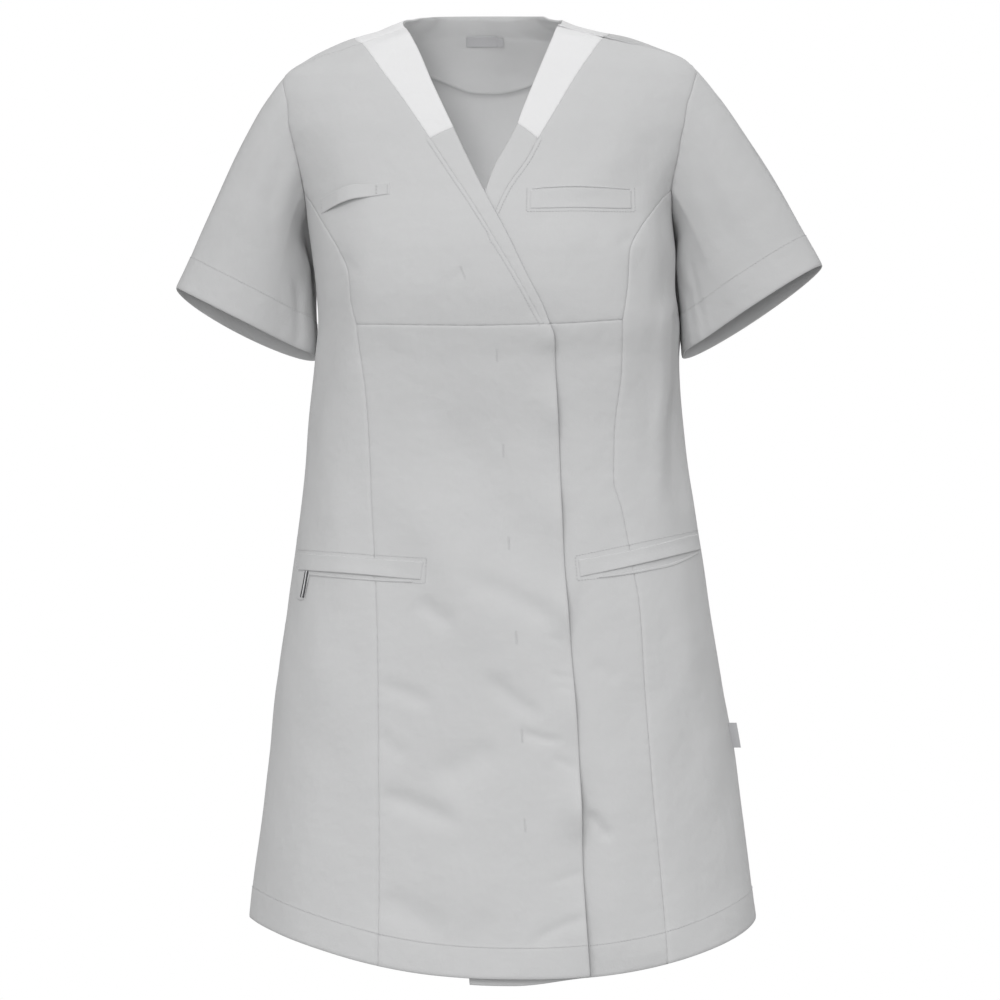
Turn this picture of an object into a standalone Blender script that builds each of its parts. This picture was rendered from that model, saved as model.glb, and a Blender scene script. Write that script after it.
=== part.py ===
"""A women's short-sleeved wrap-front tunic, filled out as it is when worn, with nobody in it.

The tunic hangs from its shoulders. The origin lies midway between the high points of the two
shoulders. +Z is up, -Y is the front and +X is the wearer's left. Sizes in the tables are
millimetres: "drop" is how far a point lies below the origin and "across" how far to the wearer's
left of the centre line. "turn" is the angle in degrees round the body, from 0 at the centre
front through 90 at the wearer's left side to 180 at the centre back; the wearer's right side is
negative. The body of the cloth is one smooth form of stacked rings. Each cut piece is a patch of
that form between its own seams, given a wall, and pieces that meet share the points of the seam.
"""

import math

import bpy
import numpy as np

MM = 0.001

WALL = 1.2  # thickness of one layer of cloth
SEAM_GAP = 0.3  # space between two pieces that are sewn edge to edge
LAP = 3.0  # how far the upper front stands off the form where it lies over the other front
LAP_RAMP = 50.0  # width over which the upper front climbs onto the under front
LAP_CLEAR = 10.0  # the climb ends this far before the edge of the under front
ON_PANEL = 0.6  # space between a panel and a strip that is sewn on it
STRIP_WALL = 1.2  # thickness of a sewn-on strip
FACING_WALL = 1.0  # thickness of the facing inside the back neck
FACING_GAP = 2.4  # space between the back and its facing
LABEL_GAP = 1.2  # space between the facing and the labels on it
LABEL_WALL = 0.8  # thickness of a label
SLEEVE_CLEAR = 0.5  # space between the armhole edge and the first ring of a sleeve

# How finely the pieces are divided.
CAP_ROWS = 7  # shoulder point to princess seam, along the front armhole
SIDE_COLUMNS = 5  # princess seam to underarm, along the front armhole
BUST_ROWS = 7  # armhole to under-bust seam, along the princess seam
SKIRT_ROWS = 21  # under-bust seam to hem
FRONT_COLUMNS = 7  # across a front, beside the neck band
BAND_COLUMNS = 2  # across a neck band or panel
NECK_ROWS = 5  # along a white neck panel
SEAM_POINTS = 40  # points that a seam's smooth curve is first worked out at
FRONT_SHOULDER_ROWS = 1  # more rows where a front bends over the shoulder
BACK_SHOULDER_ROWS = 2  # and where the back does
BACK_NECK_COLUMNS = 18  # along the white band behind the neck
SLEEVE_ROWS = 8  # armhole to cuff
FACING_ROWS = 4  # neck edge to the facing's lower edge

# The body form, as rings from the neck to below the hem.
RINGS = (
    # drop, half_width, front, back, squareness, shift
    (-6, 73.0, 26, 68, 2.1, -15.0),
    (-2, 79.5, 29, 70, 2.1, -13.5),
    (3, 91.5, 33, 73, 2.1, -13.5),
    (9, 110.0, 38, 76, 2.1, -9.0),
    (15, 136.0, 43, 79, 2.15, -5.0),
    (24, 160.5, 48, 83, 2.2, -3.5),
    (37, 188.5, 55, 87, 2.2, -0.5),
    (53, 207.5, 62, 92, 2.2, -4.5),
    (77, 215.0, 73, 98, 2.2, -7.0),
    (98, 214.0, 82, 102, 2.2, -8.0),
    (123, 206.0, 91, 105, 2.2, -8.5),
    (163, 190.0, 106, 108, 2.25, -8.5),
    (190, 183.0, 116, 107, 2.3, -8.0),
    (228, 181.5, 127, 104, 2.4, -4.5),
    (268, 179.0, 131, 100, 2.45, -2.0),
    (303, 177.5, 128, 95, 2.4, -1.0),
    (338, 182.0, 122, 90, 2.35, 0.5),
    (418, 189.5, 117, 88, 2.3, -1.5),
    (498, 199.0, 122, 96, 2.3, 0.0),
    (578, 210.0, 131, 106, 2.3, 1.0),
    (658, 223.0, 139, 116, 2.3, 2.0),
    (738, 234.0, 147, 126, 2.3, 5.0),
    (898, 254.5, 162, 144, 2.3, 5.5),
    (970, 263.0, 168, 151, 2.3, 6.0),
)

# Folds of the worn cloth: ridges are positive and troughs negative. Each runs between two points
# on the front or the back of the form, fading at both ends.
FOLDS = (
    # face, across_a, drop_a, across_b, drop_b, half_width, height
    ("front", 178, 285, 160, 455, 13, -7.0),
    ("front", 184, 330, 172, 500, 11, 2.5),
    ("front", -160, 238, -90, 232, 16, -2.0),
    ("front", 136, 222, 80, 236, 16, -2.0),
    ("front", -70, 380, 40, 560, 30, -3.0),
    ("front", -90, 470, 5, 640, 28, 2.5),
    ("front", -60, 760, 40, 800, 26, -2.5),
    ("front", 110, 690, 130, 930, 34, 3.0),
    ("front", -190, 600, -205, 880, 34, 3.0),
    ("front", 200, 640, 215, 890, 30, -3.0),
    ("back", -60, 330, -95, 900, 34, -4.0),
    ("back", 50, 340, 85, 900, 34, -4.0),
    ("back", -5, 420, 0, 900, 40, 4.0),
    ("back", -150, 480, -175, 880, 34, 4.0),
    ("back", 140, 500, 170, 880, 34, 4.0),
    ("back", -120, 300, 40, 345, 24, -3.0),
    ("back", 130, 330, -30, 375, 24, -3.0),
)
FOLD_CREST = (0.1, 0.9)  # the part of a fold's length that its crest takes up

# Seams of the wearer's right front, which lies on top. Each row is (across, drop).
RIGHT_SHOULDER = ((-196, 43), (-177, 33), (-155, 25.5), (-136, 18.4))
RIGHT_NECK_SHOULDER = ((-136, 18.4), (-117, 12.0), (-105, 8.0), (-92.5, 3.0))
RIGHT_PANEL_INNER = ((-92.5, 3.0), (-80, 25), (-65, 60), (-44, 105))
RIGHT_PANEL_OUTER = ((-136, 18.4), (-118, 44), (-97, 72), (-67, 116))
RIGHT_BAND_SEAM = ((-67, 116), (-25, 180), (-3, 216), (25, 263), (46.5, 302))
RIGHT_NECK_EDGE = ((-44, 105), (-17, 162), (11, 214.5), (29, 252), (46, 285), (52.5, 302))
RIGHT_UNDER_BUST = ((-140, 302.5), (-31, 303.7), (46.5, 302))
RIGHT_PRINCESS_BUST = ((-171.5, 205), (-157, 232), (-148.5, 253), (-146, 278), (-140, 302.5))
RIGHT_PRINCESS = (
    (-140, 302.5),
    (-129, 398),
    (-125.5, 484),
    (-121.5, 563),
    (-119, 660),
    (-118, 815),
    (-119, 943),
)
WRAP_EDGE = (
    (52.5, 302),
    (56.5, 314),
    (58, 350),
    (62, 435),
    (65, 511),
    (70, 586),
    (76, 660),
    (81, 738),
    (83.5, 810),
    (87.6, 896),
    (92, 956),
)

# Seams of the wearer's left front, which lies underneath.
LEFT_SHOULDER = ((178, 33), (150, 23.5), (127, 18.0), (107, 13))
LEFT_NECK_SHOULDER = ((107, 13), (90, 8.6), (75, 5.0), (61, 2.0))
LEFT_PANEL_INNER = ((61, 2.0), (38, 57), (25, 89), (21, 100.5))
LEFT_PANEL_OUTER = ((107, 13), (81.6, 49), (61, 83), (41, 116))
LEFT_BAND_SEAM = ((41, 116), (29, 138), (10, 165), (-1, 188), (-24, 244), (-50, 301))
LEFT_NECK_EDGE = ((21, 100.5), (12.7, 117), (-3.3, 146), (-11.5, 169), (-32, 228), (-57, 301))
LEFT_UNDER_BUST = ((126, 298), (52.5, 302), (-50, 301))
LEFT_PRINCESS_BUST = ((168, 174.5), (143, 207), (133, 230), (131, 261), (126, 298))
LEFT_PRINCESS = (
    (126, 298),
    (125, 345),
    (118, 408),
    (117, 458),
    (125, 487),
    (137, 551),
    (143, 584),
    (148, 658),
    (155, 758),
    (164, 857),
    (171, 933),
)
UNDERLAP_EDGE = ((-57, 301), (-56, 333), (-42, 640), (-27, 956))

# Armholes and side seams. Each row is (turn, drop), for a side at positive turns.
RIGHT_TIP_DROP = 53.0
LEFT_TIP_DROP = 41.0
RIGHT_ARMHOLE_FRONT = ((90, 53), (76, 66), (70, 84), (69.5, 104), (72, 135), (80.5, 170))
LEFT_ARMHOLE_FRONT = ((90, 41), (73, 60), (66, 84), (65.5, 104), (69.5, 135), (76, 168))
RIGHT_ARMHOLE_UNDER = ((80.5, 170), (90, 192), (99, 215), (107, 240))
LEFT_ARMHOLE_UNDER = ((76, 168), (88, 192), (98, 215), (107, 240))
RIGHT_ARMHOLE_BACK = ((90, 53), (101, 66), (110, 88), (117, 125), (118, 165), (114, 208), (107, 240))
LEFT_ARMHOLE_BACK = ((90, 41), (101, 56), (110, 80), (117, 120), (118, 162), (114, 206), (107, 240))
SIDE_SEAM_TURNS = ((107, 240), (102, 330), (95, 500), (91, 700))
SIDE_HEM_TURN = 90.0

# The hem hangs lowest at the centre front and back and rises towards the side seams.
HEM_DROP = 956.0
HEM_RISE = 55.0
HEM_CORNER = 5.0  # the hem rounds up by this much more close to a side seam
HEM_CORNER_POWER = 20
HEM_SQUARENESS = 2.3  # of the form's rings there
UNDERLAP_EXTRA = 6.0  # the under front hangs this much lower
UNDERLAP_EXTRA_START = 14.0  # it is all that lower up to here, across
UNDERLAP_EXTRA_END = 90.0  # and is level with the upper front from here on

# The white band behind the neck and the facing inside it, from one shoulder seam to the other.
BACK_NECK_EDGE = ((-90, -2.6), (-125, -4.6), (-180, -5.0), (-235, -5.0), (-270, -3.2))
RIGHT_BAND_AT_RIDGE = (-90.0, 14.6)
LEFT_BAND_AT_RIDGE = (-270.0, 10.6)
BACK_BAND_EDGE = ((-134, 17.5), (-112, 22), (-70, 33), (-8, 39), (48, 33), (86, 21), (104, 14))
RIGHT_FACING_AT_RIDGE = (-90.0, 15.2)
LEFT_FACING_AT_RIDGE = (-270.0, 11.4)
FACING_EDGE = (
    (-136, 19),
    (-112, 31),
    (-69, 51),
    (-48, 59),
    (-21, 67.5),
    (-1, 68),
    (18, 65),
    (38, 58),
    (62, 45),
    (90, 27),
    (107, 15.5),
)

# The upper front's free edge stands away from the under front in places.
EDGE_LIFTS = (
    # drop, height, half_length
    (316, 2.5, 16),
    (388, 3.5, 30),
    (493, 3.0, 26),
    (593, 3.0, 26),
    (778, 7.0, 40),
    (920, 4.0, 42),
)
LIFT_REACH = 20.0  # how far in from the edge a lift reaches

# Sleeves: the cuff's outer and inner ends in the front view, and its half depth front to back.
# front_rise and back_fall say how far the cuff's front lies above and its back below the line
# between those ends, so that the inside of the back shows.
SLEEVES = (
    # side, outer_across, outer_drop, outer_back, inner_across, inner_drop, inner_back,
    # half_depth, front_rise, back_fall
    ("right", -320, 265.5, 6, -180, 336, 32, 44, 0.0, 17.0),
    ("left", 325, 243, 6, 187, 335, 32, 44, 5.0, 15.0),
)
# How a sleeve leaves the armhole and comes to the cuff, for each sleeve's four lines.
SLEEVE_LINES = (
    # side, line, out_at_start, down_at_start, start_pull, out_at_end, down_at_end, end_pull
    ("right", "top", 0.86, 0.50, 0.75, 0.34, 0.94, 0.9),
    ("right", "front", 0.60, 0.80, 0.9, 0.45, 0.89, 0.9),
    ("right", "under", 0.30, 0.95, 0.6, -0.02, 1.0, 0.9),
    ("right", "back", 0.60, 0.80, 0.9, 0.45, 0.89, 0.9),
    ("left", "top", 0.68, 0.73, 0.9, 0.47, 0.88, 0.9),
    ("left", "front", 0.60, 0.80, 0.9, 0.50, 0.87, 0.9),
    ("left", "under", 0.30, 0.95, 0.6, 0.05, 1.0, 0.9),
    ("left", "back", 0.60, 0.80, 0.9, 0.50, 0.87, 0.9),
)

# Strips and labels on the panels, as corners in order: (across, drop).
RIGHT_HIP_WELT = ((-198, 531), (-73, 540), (-76, 558), (-200, 548))
LEFT_HIP_WELT = ((81, 538), (196, 512), (199, 528), (83, 555))
CHEST_WELT = ((33, 168), (135, 168), (135, 186.5), (33, 186.5))
CHEST_TAB = ((-177, 176), (-107, 161.5), (-107, 172.5), (-176, 192))
CHEST_TAB_ARCH = 5.0  # the tab stands off the bodice between its stitched ends
CHEST_TAB_RAMP = 0.3  # share of its length over which it rises and comes down again
CHEST_TAB_DOWN = 0.8  # share of its length at which it is down again
KEY_LOOP = ((-200, 550), (-187, 551), (-189, 578), (-201, 576))
NECK_LABEL = ((-31, 10), (0, 10), (0, 21), (-31, 21))
SIZE_TAG = ((0.8, 11), (7, 11), (7, 20), (0.8, 20))
SIDE_TAB_DROPS = (701.0, 726.0)
SIDE_TAB_LENGTH = 9.0
SIDE_TAB_TURN = 84.0
SIDE_TAB_SEAT = -0.4  # the side panel's flat facets lie a little inside the form here
STRIP_COLUMNS = 10

COLOURS = {
    # finish: red, green, blue, roughness
    "grey_cloth": (0.57, 0.575, 0.58, 0.85),
    "white_cloth": (0.86, 0.86, 0.87, 0.85),
    "grey_label": (0.42, 0.42, 0.43, 0.8),
    "dark_tape": (0.20, 0.20, 0.21, 0.75),
}


def eased(at, values, where):
    """A smooth curve through the values, which never swings past them between two points."""
    at = np.asarray(at, float)
    values = np.asarray(values, float)
    where = np.clip(np.asarray(where, float), at[0], at[-1])
    step = np.diff(at)
    rise = np.diff(values) / step
    slope = np.empty(len(at))
    slope[0] = rise[0]
    slope[-1] = rise[-1]
    before = rise[:-1]
    after = rise[1:]
    same_way = before * after > 0
    total = np.where(same_way, before + after, 1.0)
    slope[1:-1] = np.where(same_way, 2 * before * after / total, 0.0)
    i = np.clip(np.searchsorted(at, where, side="right") - 1, 0, len(step) - 1)
    t = (where - at[i]) / step[i]
    start = (1 + 2 * t) * (1 - t) ** 2 * values[i] + t * (1 - t) ** 2 * step[i] * slope[i]
    end = t**2 * (3 - 2 * t) * values[i + 1] + t**2 * (t - 1) * step[i] * slope[i + 1]
    return start + end


def smooth_step(value):
    """Rises from 0 to 1 as the value does, level at both ends."""
    value = np.clip(value, 0, 1)
    return value * value * (3 - 2 * value)


RING_TABLE = np.array(RINGS, float)


def ring(drop, column):
    """One column of the ring table at any drop."""
    return eased(RING_TABLE[:, 0], RING_TABLE[:, column], drop)


def form(turn, drop):
    """A point of the bare form: a rounded ring that is deeper or shallower front and back."""
    power = 2 / ring(drop, 4)
    side = np.sin(np.radians(turn))
    ahead = np.cos(np.radians(turn))
    depth = np.where(ahead > 0, ring(drop, 2), ring(drop, 3))
    x = ring(drop, 5) + ring(drop, 1) * np.sign(side) * np.abs(side) ** power
    y = -depth * np.sign(ahead) * np.abs(ahead) ** power
    return np.stack([x, y, -np.asarray(drop, float) + 0 * x], axis=-1)


def form_normal(turn, drop):
    """The direction straight out of the form, from its slopes round and down."""
    turn, drop = np.broadcast_arrays(np.asarray(turn, float), np.asarray(drop, float))
    little_turn = 0.5
    little_drop = 0.6
    round_it = form(turn + little_turn, drop) - form(turn - little_turn, drop)
    down_it = form(turn, drop + little_drop) - form(turn, drop - little_drop)
    out = np.cross(down_it, round_it)
    return out / np.linalg.norm(out, axis=-1, keepdims=True)


def turn_of(across, drop, face="front"):
    """The turn at which the form has that place across, on its front or its back."""
    across = np.asarray(across, float)
    share = (across - ring(drop, 5)) / ring(drop, 1)
    side = np.clip(np.abs(share), 0, 1) ** (ring(drop, 4) / 2)
    turn = np.sign(share) * np.degrees(np.arcsin(side))
    return turn if face == "front" else -180 - turn


def fold_height(turn, drop):
    """How far the folds lift the cloth off the form at each point."""
    place = form(turn, drop)
    back = np.cos(np.radians(turn)) < 0
    height = np.zeros(place.shape[:-1])
    for face, across_a, drop_a, across_b, drop_b, half_width, rise in FOLDS:
        turns = turn_of(np.array([across_a, across_b]), np.array([drop_a, drop_b]), face)
        a, b = form(turns, np.array([drop_a, drop_b]))
        along = b - a
        length = np.linalg.norm(along)
        share = (place - a) @ along / length**2
        middle = np.clip(share, *FOLD_CREST)
        near = a + middle[..., None] * along
        # The path is straight and the form is round, so the distance leaves out the depth.
        away = np.hypot(place[..., 0] - near[..., 0], place[..., 2] - near[..., 2])
        fade = smooth_step(1 - np.abs(share - 0.5))
        right_face = back == (face == "back")
        height += np.where(right_face, rise * np.exp(-((away / half_width) ** 2)) * fade, 0)
    # Folds die out where a face turns away at the sides, so that front and back agree there.
    return height * np.abs(np.cos(np.radians(turn))) ** 0.5


def lift_of_upper_front(turn, drop):
    """How far the upper front stands off the form: its climb onto the under front, and lifts."""
    across = form(turn, drop)[..., 0]
    under = np.array(LEFT_PANEL_INNER[:-1] + LEFT_NECK_EDGE + UNDERLAP_EDGE[1:])
    under_edge = eased(under[:, 1], under[:, 0], drop)
    climb = smooth_step((across - under_edge + LAP_CLEAR + LAP_RAMP) / LAP_RAMP)
    edge = np.array(RIGHT_NECK_EDGE + WRAP_EDGE[1:])
    from_edge = eased(edge[:, 1], edge[:, 0], drop) - across
    near_edge = np.exp(-((from_edge / LIFT_REACH) ** 2))
    lift = np.zeros_like(across)
    for at, height, half_length in EDGE_LIFTS:
        lift += height * np.exp(-(((drop - at) / half_length) ** 2))
    return LAP * climb + lift * near_edge


def no_lift(turn, drop):
    """Cloth that lies on the form itself."""
    return 0 * np.asarray(turn, float)


def cloth(turn, drop, lift, out=0.0):
    """A point of the worn cloth in metres, moved out along the form's normal."""
    height = fold_height(turn, drop) + lift(turn, drop) + out
    return (form(turn, drop) + form_normal(turn, drop) * np.asarray(height)[..., None]) * MM


def stations(points, count):
    """Evenly spaced (turn, drop) points along a smooth curve on the form."""
    points = np.asarray(points, float)
    place = form(points[:, 0], points[:, 1])
    length = np.append(0, np.cumsum(np.linalg.norm(np.diff(place, axis=0), axis=1)))
    at = np.linspace(0, length[-1], count + 1)
    return np.stack([eased(length, points[:, k], at) for k in range(2)], axis=1)


def on_face(rows, face="front"):
    """Turns a table of (across, drop) on the front or the back into close (turn, drop) points."""
    rows = np.asarray(rows, float)
    length = np.append(0, np.cumsum(np.linalg.norm(np.diff(rows, axis=0), axis=1)))
    at = np.unique(np.append(np.linspace(0, length[-1], SEAM_POINTS), length))
    across, drop = (eased(length, rows[:, k], at) for k in range(2))
    return np.stack([turn_of(across, drop, face), drop], axis=1)


def hem_drop(turn, extra=0.0):
    """The drop of the hem at each turn."""
    side = np.abs(np.sin(np.radians(turn))) ** (2 / HEM_SQUARENESS)
    return HEM_DROP + extra - HEM_RISE * side**2 - HEM_CORNER * side**HEM_CORNER_POWER


def patch(top, bottom, left, right):
    """A grid of (turn, drop) points between four curves that meet at their ends."""
    v = np.linspace(0, 1, len(left))[:, None, None]
    u = np.linspace(0, 1, len(top))[None, :, None]
    across = (1 - u) * left[:, None] + u * right[:, None]
    down = (1 - v) * top[None] + v * bottom[None]
    corners = (1 - v) * ((1 - u) * top[0] + u * top[-1])
    corners = corners + v * ((1 - u) * bottom[0] + u * bottom[-1])
    return across + down - corners


def face_patch(face, top, bottom, left, right):
    """A patch worked out in (across, drop), for a piece that lies on one face of the form."""
    flat = []
    for curve in (top, bottom, left, right):
        place = form(curve[:, 0], curve[:, 1])
        flat.append(np.stack([place[:, 0], curve[:, 1]], axis=1))
    grid = patch(*flat)
    grid[..., 0] = turn_of(grid[..., 0], grid[..., 1], face)
    grid[0] = top
    grid[-1] = bottom
    grid[:, 0] = left
    grid[:, -1] = right
    return grid


def with_bend(rows, more, face=None):
    """Puts more rows between the first two of a grid or curve, where the cloth bends most.

    Straight lines on the front stay straight there when the face is given."""
    first, second = (rows[i : i + 1].copy() for i in (0, 1))
    if face:
        first[..., 0] = form(first[..., 0], first[..., 1])[..., 0]
        second[..., 0] = form(second[..., 0], second[..., 1])[..., 0]
    share = np.linspace(0, 1, more + 2)[1:-1].reshape((-1,) + (1,) * (rows.ndim - 1))
    between = first * (1 - share) + second * share
    if face:
        between[..., 0] = turn_of(between[..., 0], between[..., 1], face)
    return np.concatenate([rows[:1], between, rows[1:]])


def join(*curves):
    """One curve from several that follow each other."""
    return np.concatenate([curves[0]] + [curve[1:] for curve in curves[1:]])


def finish(finish_name):
    """The material of one finish, made once."""
    material = bpy.data.materials.get(finish_name)
    if material is None:
        red, green, blue, roughness = COLOURS[finish_name]
        material = bpy.data.materials.new(finish_name)
        material.use_nodes = True
        shader = material.node_tree.nodes["Principled BSDF"]
        shader.inputs["Base Color"].default_value = (red, green, blue, 1)
        shader.inputs["Roughness"].default_value = roughness
        shader.inputs["Metallic"].default_value = 0.0
    return material


def add_solid(name, outer, inner, faces, finish_name):
    """A closed wall between an outer and an inner surface that share their faces."""
    count = len(outer)
    uses = {}
    for face in faces:
        for k in range(len(face)):
            edge = (face[k], face[(k + 1) % len(face)])
            uses[edge] = uses.get(edge, 0) + 1
    rims = [edge for edge in uses if (edge[1], edge[0]) not in uses]
    walls = [(b, a, a + count, b + count) for a, b in rims]
    backs = [tuple(i + count for i in reversed(face)) for face in faces]
    mesh = bpy.data.meshes.new(name)
    mesh.from_pydata(np.concatenate([outer, inner]).tolist(), [], list(faces) + backs + walls)
    mesh.validate()
    mesh.update()
    mesh.materials.append(finish(finish_name))
    mesh.shade_smooth()
    mesh.set_sharp_from_angle(angle=math.radians(50))
    item = bpy.data.objects.new(name, mesh)
    bpy.context.scene.collection.objects.link(item)
    return item


def rim_inset(points, faces, distance):
    """Moves the rim of a surface inwards, square to the rim, and returns the moved points."""
    uses = {}
    for face in faces:
        for k in range(len(face)):
            edge = (face[k], face[(k + 1) % len(face)])
            uses[edge] = face
    moved = points.copy()
    for (a, b), face in uses.items():
        if (b, a) in uses:
            continue
        along = points[b] - points[a]
        length = np.linalg.norm(along)
        if length == 0:
            continue
        along = along / length
        inwards = points[list(face)].mean(axis=0) - (points[a] + points[b]) / 2
        inwards = inwards - along * (inwards @ along)
        inwards = inwards / np.linalg.norm(inwards)
        for corner in (a, b):
            # A corner is moved by each of its two rims, and not twice by one straight rim.
            done = moved[corner] - points[corner]
            short_by = distance - done @ inwards
            moved[corner] += inwards * max(short_by, 0)
    return moved


def add_panel(name, blocks, lift, finish_name, out=0.0, wall=WALL):
    """One cut piece: grids of (turn, drop) points that share their edges, given a wall."""
    flat = np.concatenate([block.reshape(-1, 2) for block in blocks])
    keys, index = np.unique(np.round(flat, 5), axis=0, return_inverse=True)
    index = index.reshape(-1)
    outwards = form_normal(keys[:, 0], keys[:, 1])
    outer = cloth(keys[:, 0], keys[:, 1], lift, out)
    faces = []
    start = 0
    for block in blocks:
        rows, columns = block.shape[:2]
        at = index[start : start + rows * columns].reshape(rows, columns)
        start += rows * columns
        ring_of_cells = np.stack([at[:-1, :-1], at[1:, :-1], at[1:, 1:], at[:-1, 1:]], axis=-1)
        cells = ring_of_cells.reshape(-1, 4)
        a, b, c, d = (outer[cells[:, k]] for k in range(4))
        facing = np.sum(np.cross(c - a, d - b) * outwards[cells[:, 0]], axis=1)
        if np.median(facing) < 0:
            cells = cells[:, ::-1]
        for cell in cells.tolist():
            face = tuple(p for k, p in enumerate(cell) if p != cell[k - 1])
            if len(face) > 2:
                faces.append(face)
    outer = rim_inset(outer, faces, SEAM_GAP / 2 * MM)
    inner = outer - outwards * wall * MM
    return add_solid(name, outer, inner, faces, finish_name)


def strip_grid(corners, columns, rows=1):
    """A four-cornered strip on the front as a grid of (turn, drop) points."""
    across, drop = np.array(corners, float).T
    a, b, c, d = np.stack([turn_of(across, drop), drop], axis=1)
    u = np.linspace(0, 1, columns + 1)[None, :, None]
    v = np.linspace(0, 1, rows + 1)[:, None, None]
    return (1 - v) * ((1 - u) * a + u * b) + v * ((1 - u) * d + u * c)


def mirrored(rows):
    """The same (turn, drop) rows on the wearer's right side."""
    return np.asarray(rows, float) * (-1, 1)


def wrapped(rows):
    """Rows at the wearer's left side, counted on round the back from the wearer's right side."""
    return np.asarray(rows, float) - (360, 0)


def side_seam(count):
    """The side seam from underarm to hem, at positive turns."""
    end = (SIDE_HEM_TURN, float(hem_drop(SIDE_HEM_TURN)))
    return stations(SIDE_SEAM_TURNS + (end,), count)


def with_hem(rows, extra=0.0):
    """A seam whose last point is set on the hem."""
    across, drop = rows[-1]
    for _ in range(3):
        drop = float(hem_drop(turn_of(across, drop), extra))
    return on_face(rows[:-1] + ((across, drop),))


def hem_between(start, end, count, lower=None):
    """The hem from one (turn, drop) point to another."""
    turn = np.linspace(start[0], end[0], count + 1)
    drop = hem_drop(turn)
    if lower is not None:
        drop = drop + lower(turn, drop)
    points = np.stack([turn, drop], axis=1)
    points[0] = start
    points[-1] = end
    return points


def underlap_extra(turn, drop):
    """How much lower than the hem the under front hangs."""
    across = form(turn, drop)[..., 0]
    share = (UNDERLAP_EXTRA_END - across) / (UNDERLAP_EXTRA_END - UNDERLAP_EXTRA_START)
    return UNDERLAP_EXTRA * smooth_step(share)


def build_right_front():
    """The wearer's right front: neck panel, neck band, bodice, skirt and side, with its seams."""
    tip = (-90.0, RIGHT_TIP_DROP)
    armhole = stations(mirrored(RIGHT_ARMHOLE_FRONT), CAP_ROWS)
    under = stations(mirrored(RIGHT_ARMHOLE_UNDER), SIDE_COLUMNS)
    bust = stations(join(armhole[-1:], on_face(RIGHT_PRINCESS_BUST)), BUST_ROWS)
    shoulder = stations(np.vstack([[tip], on_face(RIGHT_SHOULDER)]), FRONT_COLUMNS)
    neck_shoulder = stations(on_face(RIGHT_NECK_SHOULDER), BAND_COLUMNS)
    panel_outer = stations(on_face(RIGHT_PANEL_OUTER), NECK_ROWS)
    panel_inner = stations(on_face(RIGHT_PANEL_INNER), NECK_ROWS)
    band_rows = CAP_ROWS + BUST_ROWS - NECK_ROWS
    band_seam = stations(on_face(RIGHT_BAND_SEAM), band_rows)
    neck_edge = stations(on_face(RIGHT_NECK_EDGE), band_rows)
    under_bust = stations(on_face(RIGHT_UNDER_BUST), FRONT_COLUMNS)
    panel_end = stations([panel_outer[-1], panel_inner[-1]], BAND_COLUMNS)
    panel = face_patch("front", neck_shoulder, panel_end, panel_outer, panel_inner)
    band_end = stations([band_seam[-1], neck_edge[-1]], BAND_COLUMNS)
    lift = lift_of_upper_front
    add_panel(
        "neck_panel_right",
        [with_bend(panel, FRONT_SHOULDER_ROWS, "front")],
        lift,
        "white_cloth",
    )
    add_panel(
        "neck_band_right",
        [face_patch("front", panel_end, band_end, band_seam, neck_edge)],
        lift,
        "grey_cloth",
    )
    bodice_outer = join(armhole, bust)
    bodice_inner = join(panel_outer, band_seam)
    bodice = face_patch("front", shoulder, under_bust, bodice_outer, bodice_inner)
    add_panel(
        "bodice_right",
        [with_bend(bodice, FRONT_SHOULDER_ROWS, "front")],
        lift,
        "grey_cloth",
    )
    princess = stations(with_hem(RIGHT_PRINCESS), SKIRT_ROWS)
    wrap = stations(with_hem(WRAP_EDGE), SKIRT_ROWS)
    skirt_top = join(under_bust, band_end)
    skirt_hem = hem_between(princess[-1], wrap[-1], len(skirt_top) - 1)
    add_panel(
        "skirt_right",
        [face_patch("front", skirt_top, skirt_hem, princess, wrap)],
        lift,
        "grey_cloth",
    )
    side = side_seam(BUST_ROWS + SKIRT_ROWS) * (-1, 1)
    inner_side = join(bust, princess)
    side_hem = hem_between(side[-1], princess[-1], SIDE_COLUMNS)
    add_panel("side_right", [patch(under[::-1], side_hem, side, inner_side)], lift, "grey_cloth")
    return {
        "armhole": with_bend(join(armhole, under), FRONT_SHOULDER_ROWS, "front"),
        "shoulder": shoulder,
        "neck_shoulder": neck_shoulder,
    }


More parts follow.
